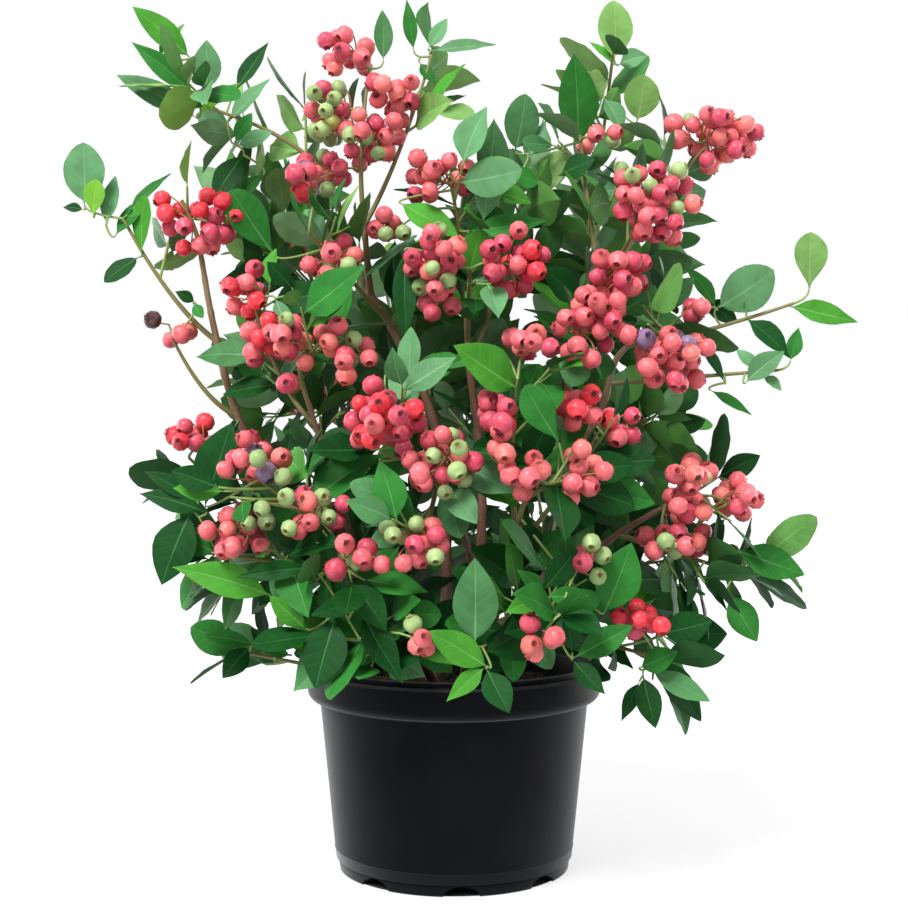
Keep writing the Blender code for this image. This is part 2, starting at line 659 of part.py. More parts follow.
def set_twigs(growth, room):
    allowed = {(growth.name, "wood")}
    stem = growth.wood[0]
    for number in range(growth.spray.twigs):
        share = FIRST_TWIG + TWIGS_OVER * (number + 0.5) / growth.spray.twigs
        start, axis = along(stem, share)
        length = growth.reach * TWIG_SHARE * growth.random.uniform(TWIG_LEAST, TWIG_MOST)
        for attempt in range(TRIES):
            turn = (number * TURNS_A_TWIG + attempt) * GOLDEN_ANGLE
            direction = (branch_direction(axis, TWIG_ANGLE, turn) + UP * TWIG_LIFT).normalized()
            end = start + direction * length
            twig = rod(start, end, TWIG_RADIUS, TWIG_TIP_RADIUS)
            if growth.within(end) and clear_of(twig, room, allowed):
                growth.wood.append([start, end])
                growth.keep(twig, "wood", room)
                break
            twig.free()


def leaf(root, axis, length, roll):
    """A flat pointed leaf, widest below its middle. Its upper side is turned up and out of the bush."""
    facing = UP * LEAF_TURNED_UP + Vector((root.x, root.y, 0)).normalized()
    sideways = Quaternion(axis, roll) @ axis.cross(facing).normalized()
    upper = sideways.cross(axis)
    shape = bmesh.new()
    bmesh.ops.create_uvsphere(shape, u_segments=4, v_segments=2, radius=1)
    for point in shape.verts:
        width, thickness, height = point.co
        share = LEAF_WIDEST if abs(height) < 0.5 else (height + 1) / 2
        point.co = (
            root
            + axis * (share * length - LEAF_ROOT_DEPTH)
            + sideways * width * length * LEAF_WIDTH_SHARE / 2
            + upper * thickness * LEAF_THICKNESS / 2
            - UP * (LEAF_DROOP * length * share**2)
        )
    bmesh.ops.recalc_face_normals(shape, faces=shape.faces)
    return shape


def set_leaves(growth, room):
    """Leaves by turns along every twig and the outer stem, and one that goes on from each end."""
    allowed = {(growth.name, "wood")}
    for number, line in enumerate(growth.wood):
        outer = [along(line, BARE_STEM)[0], *line[len(line) // 2 + 1:]] if number == 0 else line
        start, end = outer[0], outer[-1]
        axis = (end - start).normalized()
        span = (end - start).length
        count = int(span / LEAF_SPACING)
        for place in range(count, -1, -1):
            spot = start.lerp(end, (place + 0.5) / (count + 1))
            set_one_leaf(growth, room, nearest([line], spot), axis, LEAF_ANGLE, place * GOLDEN_ANGLE, allowed)
        set_one_leaf(growth, room, end, axis, LEAF_END_ANGLE, number * GOLDEN_ANGLE, allowed)


def set_one_leaf(growth, room, root, axis, angle, turn, allowed):
    for attempt in range(TRIES):
        length = LEAF_LENGTH * growth.random.uniform(LEAF_LEAST, LEAF_MOST)
        roll = growth.random.uniform(-LEAF_ROLL, LEAF_ROLL)
        direction = branch_direction(axis, angle, turn + attempt * LEAF_NEXT_TRY)
        blade = leaf(root, direction, length, roll)
        if growth.within(root + direction * length) and clear_of(blade, room, allowed):
            growth.keep(blade, "leaf", room)
            return
        blade.free()


def fuse(growth, parts):
    """Joins the spray's pieces into one closed solid."""
    stem, *others = growth.pieces
    bits = new_collection("bits")
    for piece in others:
        obj = bpy.data.objects.new("bit", mesh_of(piece, "bit"))
        bits.objects.link(obj)
    spray = new_object(growth.name, mesh_of(stem, growth.name), parts, FOLIAGE)
    union = spray.modifiers.new("union", "BOOLEAN")
    union.operation = "UNION"
    union.operand_type = "COLLECTION"
    union.collection = bits
    union.solver = "EXACT"
    graph = bpy.context.evaluated_depsgraph_get()
    joined = bpy.data.meshes.new_from_object(spray.evaluated_get(graph))
    spray.modifiers.remove(union)
    for bit in list(bits.objects):
        bpy.data.objects.remove(bit)
    bpy.data.collections.remove(bits)
    shape = bmesh.new()
    shape.from_mesh(joined)
    keep_main_shell(shape)
    shape.to_mesh(spray.data)
    shape.free()
    bpy.data.meshes.remove(joined)


def keep_main_shell(shape):
    """Drops loose scraps, and the inner shells of hollows that fusing has sealed."""
    left = set(shape.faces)
    shells = []
    while left:
        shell = {left.pop()}
        edge = list(shell)
        while edge:
            face = edge.pop()
            beside = {other for side in face.edges for other in side.link_faces} & left
            left -= beside
            shell |= beside
            edge.extend(beside)
        shells.append(shell)
    main = max(shells, key=len)
    loose = [face for shell in shells if shell is not main for face in shell]
    bmesh.ops.delete(shape, geom=loose, context="FACES")


if __name__ == "__main__":
    main()
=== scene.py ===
"""The looks of a pink-fruited blueberry bush in a black nursery pot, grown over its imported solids.

The frame is in metres with +Z up. The origin is the middle of the pot's flat underside, +X is to the right
and the side that is seen first faces -Y. The tables give places in millimetres: across, behind, above.

The bush grows by the rule of its solids: canes rise from the mix, boughs fork from them, and each spray is a
stem with twigs, leaves and fruit that keeps within its reach. Here the twigs are finer and the leaves and
berries are of their real size.
"""

import json
import math
import random
from collections import namedtuple

import bmesh
import bpy
import numpy as np
from mathutils import Matrix, Quaternion, Vector, noise

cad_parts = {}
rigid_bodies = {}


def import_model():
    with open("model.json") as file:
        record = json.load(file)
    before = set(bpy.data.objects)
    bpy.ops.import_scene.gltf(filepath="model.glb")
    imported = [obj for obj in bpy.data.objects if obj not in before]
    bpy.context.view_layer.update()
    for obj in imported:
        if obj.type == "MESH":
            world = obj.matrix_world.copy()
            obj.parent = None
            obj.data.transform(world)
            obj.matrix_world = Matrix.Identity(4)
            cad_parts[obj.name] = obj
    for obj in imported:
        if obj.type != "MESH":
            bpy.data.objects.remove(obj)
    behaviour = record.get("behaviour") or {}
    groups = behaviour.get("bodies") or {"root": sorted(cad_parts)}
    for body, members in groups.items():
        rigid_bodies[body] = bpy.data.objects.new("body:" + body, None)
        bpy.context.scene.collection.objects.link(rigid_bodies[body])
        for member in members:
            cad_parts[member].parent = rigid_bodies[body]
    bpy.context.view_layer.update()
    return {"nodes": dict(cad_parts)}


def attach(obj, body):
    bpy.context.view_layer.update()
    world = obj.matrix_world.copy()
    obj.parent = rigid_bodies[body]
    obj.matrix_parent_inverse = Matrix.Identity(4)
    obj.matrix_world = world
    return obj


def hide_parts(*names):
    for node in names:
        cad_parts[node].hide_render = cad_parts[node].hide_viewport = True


MM = 0.001
UP = Vector((0, 0, 1))
GOLDEN_ANGLE = math.radians(137.5)

# The camera of the photograph.
CAMERA_PLACE = (0, -1.08, 0.299)
CAMERA_DOWN = math.radians(1.27)
CAMERA_LENS = 64.2

# The studio.
SUN_POWER = 5.2
SUN_SPREAD = math.radians(24)
SUN_HEADING = (0.45, 0.75, -1.0)
SIDE_LIGHT_POWER = 16
SIDE_LIGHT_SIZE = 1.1
SIDE_LIGHT_PLACE = (1.5, 1.0, 0.55)
SIDE_LIGHT_DROP = 0.3
FLOOR_RADIUS = 12
FLOOR_GLOW = 0.73
DISC_STEPS = 96

# The pot.
POT_HEIGHT = 0.1372
LIP_RADIUS = 0.0925
LIP_ROUND = 0.0012
RIM_RADIUS = 0.0975
RIM_TOP_HEIGHT = 0.1330
RIM_FOOT_HEIGHT = 0.1125
RIM_ROLL = 0.0070
EDGE_ROUND = 0.0011
BODY_TOP_RADIUS = 0.0893
BODY_FOOT_RADIUS = 0.0788
SKIRT_RADIUS = 0.0772
SKIRT_HEIGHT = 0.0085
POT_FOOT_RADIUS = 0.0766
FOOT_ROUND = 0.0012
POT_WALL = 0.0016
POT_STEPS = 144
ARCHES = 8
FIRST_ARCH = math.radians(3.5)
ARCH_WIDTH = 0.023
ARCH_HEIGHT = 0.0066
ARCH_DEPTH = 0.012
ARCH_STEPS = 28
MOULD_LINE_HEIGHT = 0.0150
MOULD_LINE_PROUD = 0.0003
SHARP_ANGLE = math.radians(38)
POT_RELIEF = 0.00012
POT_COLOURS = {
    "plain": (0.0020, 0.0023, 0.0034),
    "clean": (0.0012, 0.0014, 0.0025),
    "dusty": (0.0038, 0.0043, 0.0061),
    # The last colour is a painted highlight, for pale lines along the lip and the rim's edges.
    "painted_highlight": (0.130, 0.136, 0.148),
}
# Painted highlight lines on the pot, as shares of its height, and how strong they are: its lip, its rim's
# edge and its rim's foot.
PAINTED_HIGHLIGHT_BANDS = (
    ((0.9945, 0), (0.998, 0.9)),
    ((0.960, 0), (0.966, 0.3), (0.9694, 0.3), (0.972, 0)),
    ((0.812, 0), (0.8175, 0.2), (0.8215, 0.2), (0.827, 0)),
)

# The potting mix.
SOIL_TOP = 0.120
SOIL_SUNK = 0.0012
SOIL_LUMPS = 0.0022
SOIL_RINGS = 34
SOIL_STEPS = 120
SOIL_GAP = 0.0003
SOIL_EDGE_GAP = 0.0007
SOIL_RELIEF = 0.0012
SOIL_COLOURS = {
    "plain": (0.006, 0.004, 0.003),
    "dark": (0.0020, 0.0014, 0.0012),
    "pale": (0.0180, 0.0100, 0.0070),
    "bits": (0.060, 0.016, 0.012),
}
CRUMBS = 420
CRUMB_SHAPES = 3
CRUMB_SIZES = (0.0011, 0.0014, 0.0019, 0.0027)
CRUMB_EDGE_GAP = 0.003
BARK_BITS = 0.22
# The colour and roughness of a crumb.
CRUMB_TONES = {"dark_bit": ((0.007, 0.005, 0.004), 0.9), "bark_bit": ((0.085, 0.028, 0.018), 0.8)}

# Canes and boughs.
FOOT_SUNK = 0.004
STRAIGHT_FOOT = 0.006
LIMB_STEPS = 14
LIMB_SIDES = 18
LIMB_RELIEF = 0.34
LIMB_RELIEF_SCALE = 190.0
FOOT_FLARE = 1.35
JOINT_SPACING = 0.021
JOINT_SWELL = 0.16
JOINT_LENGTH = 0.0022
YOUNG_HEIGHT = 0.24
BARK_RELIEF = 0.0004
BARK_COLOURS = {
    "plain": (0.12, 0.05, 0.03),
    "dark": (0.080, 0.030, 0.018),
    "red": (0.230, 0.105, 0.060),
    "grey": (0.200, 0.150, 0.105),
    "young": (0.165, 0.120, 0.040),
    "pores": (0.330, 0.240, 0.150),
}

# The crown, its parts and the room in it.
MOST_BALLS = 40000
BACK_BEGINS = 0.07
MIDDLE_ENDS = 0.07

# Wood of the sprays.
STEM_SUNK = 0.001
STRAIGHT_START = 0.004
LEAST_BRANCH_ANGLE = math.radians(40)
STEM_BEND = 0.35
STEM_STEPS = 12
STEM_RADIUS = 0.0019
STEM_TIP_RADIUS = 0.0010
TWIGS_FOR_ONE = 2.2
FIRST_TWIG = 0.30
TWIG_SPAN = 0.66
TWIG_ANGLE = math.radians(50)
TWIG_STEPS = 6
TWIG_SIDES = 8
TWIG_RADIUS = 0.00105
TWIG_TIP_RADIUS = 0.00070
TWIG_SHARE = 0.50
TWIG_LENGTHS = (0.7, 1.1)
TWIG_LIFT = 0.12
TWIG_RELIEF = 0.12
TWIG_RELIEF_SCALE = 400.0
SHOOT_SHARE = 0.50
SHOOT_RADIUS = 0.00085
SHOOT_TIP_RADIUS = 0.00055

# Leaves. Two lengths or widths are the least and the most, times the plain one.
LEAF_LENGTH = 0.048
LEAF_LENGTHS = (0.62, 1.15)
LEAF_WIDTH_SHARE = 0.57
LEAF_WIDTHS = (0.85, 1.12)
LEAF_SPACING = 0.0095
LEAF_ANGLE = math.radians(52)
LEAF_END_ANGLE = math.radians(20)
LEAF_TURNED_UP = 0.5
LEAF_ROLL = math.radians(34)
LEAF_ROOM = 0.0028
LEAF_TRIES = 5
LEAF_NEXT_TURN = math.radians(50)
FIRST_STEM_LEAF = 0.4
FIRST_TWIG_LEAF = 0.12
END_LEAF_SIZE = 0.82
TIP_LEAF_SIZE = 0.9
ROOT_LEAF_GAIN = 0.25
SPINE_SHARES = (0.22, 0.36, 0.50, 0.64, 0.78, 0.95)
EDGE_SHARES = (0.35, 0.6)
RIM_ROOM = 0.003
POT_VIEW_ROOM = 0.07
BLADE_TURNED_UP = 0.35
BLADE_ROLL = math.radians(16)
BLADE_BACK = 0.012
BLADE_FRONT = 0.12
LEAF_SPECULAR = 0.08
LEAF_RELIEF = 0.00018
VEINS = 6.5
VEIN_SLOPE = 0.42
VEIN_STRENGTH = 0.20
STALK_END = 0.07
LEAF_STATIONS = (0.06, 0.16, 0.28, 0.41, 0.54, 0.66, 0.77, 0.87, 0.95)
RIB_HALF_WIDTH = 0.024
RIB_LIFT = 0.003
RIB_DEPTH = 0.011
QUILT = (0.006, 0.015)
WAVE_STEP = 2.1
# Outlines of a leaf: where it is widest, and how sharply its foot and its tip narrow.
OVAL = (0.44, 0.75, 0.92)
ROUND = (0.50, 0.62, 0.62)
SPOON = (0.62, 1.05, 0.62)
LANCE = (0.40, 0.85, 1.20)
# The shapes of a leaf: its outline, and how far it is folded along its midrib, curled down, bent aside and
# waved along its edge.
LEAF_SHAPES = (
    (OVAL, 0.07, 0.08, 0.02, 0.006),
    (OVAL, 0.20, 0.16, -0.05, 0.010),
    (ROUND, 0.04, 0.05, 0.03, 0.010),
    (LANCE, 0.10, 0.16, 0.06, 0.008),
    (SPOON, 0.07, 0.08, -0.03, 0.006),
    (LANCE, 0.18, 0.10, -0.05, 0.012),
)
# The parts of a leaf and of a berry, in the order of their colours.
BLADE, RIB, UNDERSIDE = 0, 1, 2
SKIN, CROWN, EYE = 0, 1, 2

# Fruit.
BERRY_RADIUS = 0.0066
BERRY_SIZES = (0.86, 1.06)
UNRIPE_SIZE = 0.88
BERRY_ROOM = 0.0008
BERRY_SPECULAR = 0.28
BLOOM_STRENGTH = 0.16
BERRY_STEPS = 10
BERRY_RINGS = ((0.50, -0.84), (0.88, -0.43), (1.0, 0.06), (0.83, 0.55), (0.40, 0.90))
# The shapes of a berry: its height, the length of its crown's lobes and the width of its eye.
BERRY_SHAPES = ((0.94, 0.95, 0.24), (0.90, 1.05, 0.28))
TRUSS_FILL = 0.34
TRUSS_LEAST_DEPTH = 0.010
PACK_ROUNDS = 40
PACK_INSET = 0.7
PACK_LEAST_HALF = 0.002
PACK_CLOSENESS = 0.97
PACK_PUSH = 0.35
CORE_MOST_BACK = 0.008
CORE_DROP = 0.002
VIEW_LENGTH = 0.055
VIEW_WIDTH = 0.85
VIEW_STEPS = 5
VIEW_TURNS = 0.05
STALK_RADIUS = 0.0009
STALK_STEPS = 6
STALK_SIDES = 5
PEDICEL_RADIUS = 0.0005
PEDICEL_STEPS = 4

Limb = namedtuple("Limb", "parent fork foot_radius tip_radius knots")
Spray = namedtuple("Spray", "limb along tip reach twigs leafage fullness")
Truss = namedtuple("Truss", "middle half_width half_height fruit ripeness")
Grown = namedtuple("Grown", "line radii")
Piece = namedtuple("Piece", "place turn size shape tone")

# A cane's first knot is its place on the mix. A bough forks from its parent at the height called fork.
LIMBS = {
    "cane_left": Limb(None, None, 4.2, 1.7, [
        (-24, -4), (-62, -8, 185), (-112, -14, 248), (-142, -20, 302), (-157, -22, 360), (-165, -25, 408)]),
    "cane_crest": Limb(None, None, 4.6, 1.8, [
        (-9, 8), (-5, 14, 200), (-12, 14, 290), (-40, 12, 356), (-62, 11, 393), (-78, 10, 444)]),
    "cane_centre": Limb(None, None, 4.2, 1.8, [
        (7, -8), (17, -8, 200), (18, -6, 270), (10, -5, 335), (8, -10, 383)]),
    "cane_right": Limb(None, None, 4.8, 1.8, [
        (17, 6), (45, 2, 172), (78, -1, 235), (80, -2, 290), (76, 0, 338), (97, -6, 384), (116, -10, 414)]),
    "cane_low_right": Limb(None, None, 3.8, 1.6, [
        (27, -10), (62, -22, 176), (98, -34, 218), (136, -44, 243)]),
    "cane_front_left": Limb(None, None, 3.6, 1.6, [
        (-14, -18), (-32, -46, 165), (-56, -76, 204), (-78, -92, 228)]),
    "cane_front_right": Limb(None, None, 3.6, 1.6, [
        (11, -24), (24, -52, 165), (34, -84, 208), (40, -104, 240)]),
    "cane_back_left": Limb(None, None, 4.2, 1.7, [(-16, 22), (-46, 56, 205), (-78, 84, 300), (-96, 98, 372)]),
    "cane_back_right": Limb(None, None, 4.2, 1.7, [(13, 25), (42, 62, 205), (72, 92, 296), (88, 104, 372)]),
    "bough_crest_fork": Limb("cane_crest", 382, 2.6, 1.6, [(-58, -6, 410), (-60, -12, 436)]),
    "bough_right_fork": Limb("cane_right", 276, 2.8, 1.6, [(98, -6, 306), (106, -12, 336), (120, -18, 352)]),
    "bough_inner_left": Limb("cane_front_left", 205, 2.4, 1.5, [(-76, -68, 262), (-94, -70, 318)]),
    "bough_centre_front": Limb("cane_centre", 186, 2.6, 1.5, [(2, -46, 236), (-16, -82, 262)]),
    "bough_back_low": Limb("cane_back_left", 160, 2.6, 1.5, [(-24, 96, 190), (-4, 122, 214)]),
}

# Each spray leaves its limb at a share of the limb's length, and its stem ends at tip. Its leaves stay within
# reach and are of one leafage. Its twigs are counted times its fullness, which is also the share of places on
# its stem that have a leaf, where it is below 1.
SPRAYS = {
    "spray_upper_left": Spray("cane_crest", 1.0, (-186, 6, 512), 64, 3, "pale", 0.4),
    "spray_crest": Spray("bough_crest_fork", 1.0, (-56, -4, 530), 52, 2, "upper", 0.3),
    "spray_crest_right": Spray("bough_crest_fork", 0.8, (-14, 10, 545), 52, 2, "pale", 0.25),
    "spray_heart": Spray("cane_centre", 1.0, (-2, -24, 450), 58, 2, "upper", 0.8),
    "spray_heart_back": Spray("cane_centre", 0.80, (50, 40, 466), 68, 3, "upper", 0.7),
    "spray_left_shoulder": Spray("cane_crest", 0.70, (-92, -54, 416), 60, 2, "upper", 0.7),
    "spray_left_truss": Spray("cane_left", 1.0, (-176, -30, 440), 50, 2, "pale", 0.4),
    "spray_left_shoot": Spray("cane_left", 0.80, (-214, -30, 428), 62, 2, "pale", 0.15),
    "spray_left_spur": Spray("cane_left", 0.66, (-182, -30, 350), 40, 1, "pale", 0.1),
    "spray_left_chain": Spray("bough_inner_left", 0.80, (-126, -62, 372), 54, 2, "crown", 0.8),
    "spray_left_heart": Spray("bough_inner_left", 1.0, (-76, -88, 350), 60, 2, "crown", 1.0),
    "spray_left_side": Spray("cane_left", 0.38, (-170, -44, 274), 66, 3, "deep", 0.35),
    "spray_left_middle": Spray("cane_front_left", 1.0, (-118, -104, 262), 62, 2, "deep", 1.0),
    "spray_low_left": Spray("cane_front_left", 0.72, (-146, -84, 216), 68, 3, "deep", 1.0),
    "spray_front_left": Spray("cane_front_left", 0.86, (-64, -124, 216), 60, 2, "deep", 1.0),
    "spray_front_middle": Spray("bough_centre_front", 0.86, (-18, -128, 226), 60, 2, "crown", 1.0),
    "spray_middle_left": Spray("bough_centre_front", 1.0, (-40, -108, 300), 58, 2, "crown", 0.9),
    "spray_middle": Spray("bough_centre_front", 0.94, (-4, -126, 276), 54, 2, "crown", 0.9),
    "spray_centre": Spray("cane_centre", 0.86, (10, -66, 392), 60, 2, "crown", 0.7),
    "spray_middle_right": Spray("cane_front_right", 0.90, (38, -112, 322), 58, 2, "crown", 1.0),
    "spray_front_right": Spray("cane_front_right", 1.0, (62, -138, 262), 60, 2, "deep", 1.0),
    "spray_right_heart": Spray("cane_right", 0.70, (92, -72, 366), 60, 2, "crown", 0.9),
    "spray_right_middle": Spray("bough_right_fork", 1.0, (134, -76, 340), 58, 2, "crown", 0.7),
    "spray_right_shoulder": Spray("cane_right", 0.93, (124, -50, 434), 58, 2, "crown", 0.7),
    "spray_right_crest": Spray("cane_right", 1.0, (166, -20, 478), 58, 2, "upper", 0.25),
    "spray_upper_right": Spray("cane_right", 0.86, (84, 6, 488), 66, 3, "upper", 0.5),
    "spray_top": Spray("cane_back_right", 1.0, (108, 26, 546), 62, 2, "young", 0.4),
    "spray_right_shoot": Spray("bough_right_fork", 0.88, (222, -20, 374), 62, 2, "young", 0.05),
    "spray_right_low_shoot": Spray("bough_right_fork", 0.50, (210, -30, 330), 52, 2, "pale", 0.08),
    "spray_right_inner": Spray("cane_front_right", 0.80, (94, -100, 294), 58, 2, "deep", 1.0),
    "spray_right_truss": Spray("cane_low_right", 1.0, (160, -60, 250), 56, 2, "deep", 0.6),
    "spray_right_side": Spray("cane_low_right", 0.80, (184, -66, 200), 66, 2, "deep", 0.6),
    "spray_low_right": Spray("cane_low_right", 0.44, (130, -84, 150), 64, 2, "deep", 1.0),
    "spray_front_low_right": Spray("cane_front_right", 0.52, (62, -136, 184), 66, 3, "deep", 1.0),
    "spray_front_low_left": Spray("cane_front_left", 0.42, (-56, -122, 168), 66, 3, "deep", 1.0),
    "spray_low_left_twig": Spray("cane_left", 0.12, (-140, -22, 146), 46, 2, "deep", 0.35),
    "spray_back_left": Spray("cane_back_left", 1.0, (-120, 92, 450), 84, 4, "upper", 1.4),
    "spray_back_left_middle": Spray("cane_back_left", 0.72, (-128, 102, 330), 84, 4, "crown", 1.3),
    "spray_back_left_low": Spray("cane_back_left", 0.40, (-126, 94, 210), 82, 3, "deep", 1.0),
    "spray_back_middle": Spray("bough_back_low", 1.0, (-6, 160, 330), 86, 4, "crown", 1.3),
    "spray_back_low": Spray("bough_back_low", 0.72, (-12, 150, 196), 76, 3, "deep", 1.0),
    "spray_back_right": Spray("cane_back_right", 0.80, (122, 100, 420), 84, 4, "upper", 1.0),
    "spray_back_right_middle": Spray("cane_back_right", 0.62, (134, 96, 300), 84, 4, "crown", 1.0),
    "spray_back_right_low": Spray("cane_back_right", 0.36, (150, 80, 200), 80, 3, "deep", 1.0),
}

# More twigs inside the crown, which fill it between the sprays.
INNER_SPRAYS = {
    "inner_crest": Spray("cane_crest", 0.46, (-44, 52, 384), 60, 3, "upper", 1.0),
    "inner_back": Spray("cane_back_left", 0.66, (-40, 84, 400), 62, 3, "young", 1.0),
    "inner_centre": Spray("cane_centre", 0.50, (16, 46, 350), 60, 3, "upper", 1.0),
    "inner_right": Spray("cane_right", 0.36, (92, 40, 300), 60, 3, "crown", 1.0),
    "inner_left": Spray("cane_left", 0.40, (-92, 34, 300), 60, 3, "crown", 1.0),
    "inner_low": Spray("cane_crest", 0.22, (-40, 44, 236), 56, 2, "deep", 1.0),
    "inner_low_right": Spray("cane_right", 0.20, (64, 36, 220), 56, 2, "deep", 1.0),
}

# Where the fruit hangs on a spray: the middle of each truss, its half width and half height, its berries, and
# how ripe they are.
TRUSSES = {
    "spray_crest": [
        Truss((-73, -2, 541), 22, 16, 12, "pink"), Truss((-38, -6, 512), 18, 20, 13, "pink"),
        Truss((-84, -4, 502), 14, 25, 22, "unripe"), Truss((-57, -8, 484), 23, 19, 22, "mixed"),
        Truss((-86, -10, 462), 18, 14, 12, "dusky")],
    "spray_heart": [Truss((-9, -22, 455), 30, 16, 16, "pink"), Truss((-43, -30, 424), 15, 13, 6, "mixed")],
    "spray_left_shoulder": [
        Truss((-80, -52, 400), 18, 18, 12, "pink"), Truss((-95, -30, 450), 9, 16, 6, "deep")],
    "spray_left_truss": [Truss((-168, -30, 428), 29, 25, 18, "deep")],
    "spray_left_spur": [Truss((-193, -30, 362), 5, 5, 1, "ripe"), Truss((-180, -28, 354), 11, 9, 3, "pink")],
    "spray_left_chain": [
        Truss((-130, -56, 380), 15, 20, 9, "deep"), Truss((-118, -62, 348), 15, 20, 9, "deep")],
    "spray_left_heart": [
        Truss((-96, -86, 344), 20, 18, 10, "mixed"), Truss((-62, -88, 341), 20, 18, 10, "mixed"),
        Truss((-100, -86, 319), 9, 9, 3, "pink")],
    "spray_left_side": [Truss((-168, -44, 286), 18, 15, 8, "deep")],
    "spray_left_middle": [Truss((-119, -96, 273), 25, 18, 18, "dusky")],
    "spray_low_left": [Truss((-133, -96, 230), 23, 17, 14, "mixed")],
    "spray_front_left": [
        Truss((-92, -118, 244), 27, 16, 13, "mixed"), Truss((-61, -126, 216), 18, 14, 9, "mixed")],
    "spray_front_middle": [Truss((-23, -134, 228), 21, 22, 16, "mixed")],
    "spray_middle_left": [Truss((-38, -112, 298), 24, 21, 27, "deep")],
    "spray_middle": [Truss((-8, -130, 275), 25, 19, 25, "mixed")],
    "spray_centre": [Truss((-9, -70, 391), 22, 31, 25, "mixed"), Truss((36, -70, 397), 24, 21, 23, "deep")],
    "spray_middle_right": [
        Truss((45, -104, 343), 16, 11, 8, "pink"), Truss((26, -120, 301), 13, 17, 12, "deep")],
    "spray_front_right": [
        Truss((38, -140, 268), 20, 18, 9, "pink"), Truss((74, -140, 266), 18, 20, 9, "pink")],
    "spray_right_heart": [
        Truss((84, -80, 354), 25, 26, 23, "pink"), Truss((101, -62, 388), 20, 16, 16, "deep")],
    "spray_right_middle": [
        Truss((130, -80, 336), 28, 18, 29, "dusky"), Truss((152, -60, 366), 11, 7, 4, "pink")],
    "spray_right_shoulder": [Truss((122, -52, 436), 29, 31, 34, "mixed")],
    "spray_right_crest": [Truss((166, -22, 480), 33, 23, 29, "pink")],
    "spray_upper_right": [Truss((96, -8, 486), 15, 8, 5, "dusky")],
    "spray_right_inner": [
        Truss((100, -102, 294), 14, 12, 6, "deep"), Truss((72, -102, 304), 22, 12, 12, "deep")],
    "spray_right_truss": [
        Truss((148, -62, 265), 21, 9, 10, "pink"), Truss((179, -62, 247), 13, 16, 13, "pink"),
        Truss((147, -64, 244), 20, 8, 10, "pink"), Truss((136, -66, 222), 29, 10, 16, "mixed")],
    "spray_front_low_right": [
        Truss((80, -130, 215), 10, 11, 5, "unripe"), Truss((52, -148, 169), 17, 13, 5, "pink")],
    "spray_low_right": [Truss((113, -100, 176), 16, 15, 9, "deep")],
    "spray_front_low_left": [Truss((-21, -140, 170), 10, 13, 4, "pink")],
    "spray_back_left": [Truss((-100, 112, 424), 26, 24, 20, "mixed")],
    "spray_back_left_middle": [Truss((-112, 120, 322), 26, 24, 20, "pink")],
    "spray_back_middle": [Truss((-14, 160, 316), 26, 24, 20, "mixed")],
    "spray_back_right": [Truss((104, 112, 402), 26, 24, 20, "pink")],
    "spray_back_right_middle": [Truss((118, 114, 296), 26, 24, 20, "deep")],
    "spray_back_low": [Truss((-24, 160, 220), 22, 20, 13, "mixed")],
}

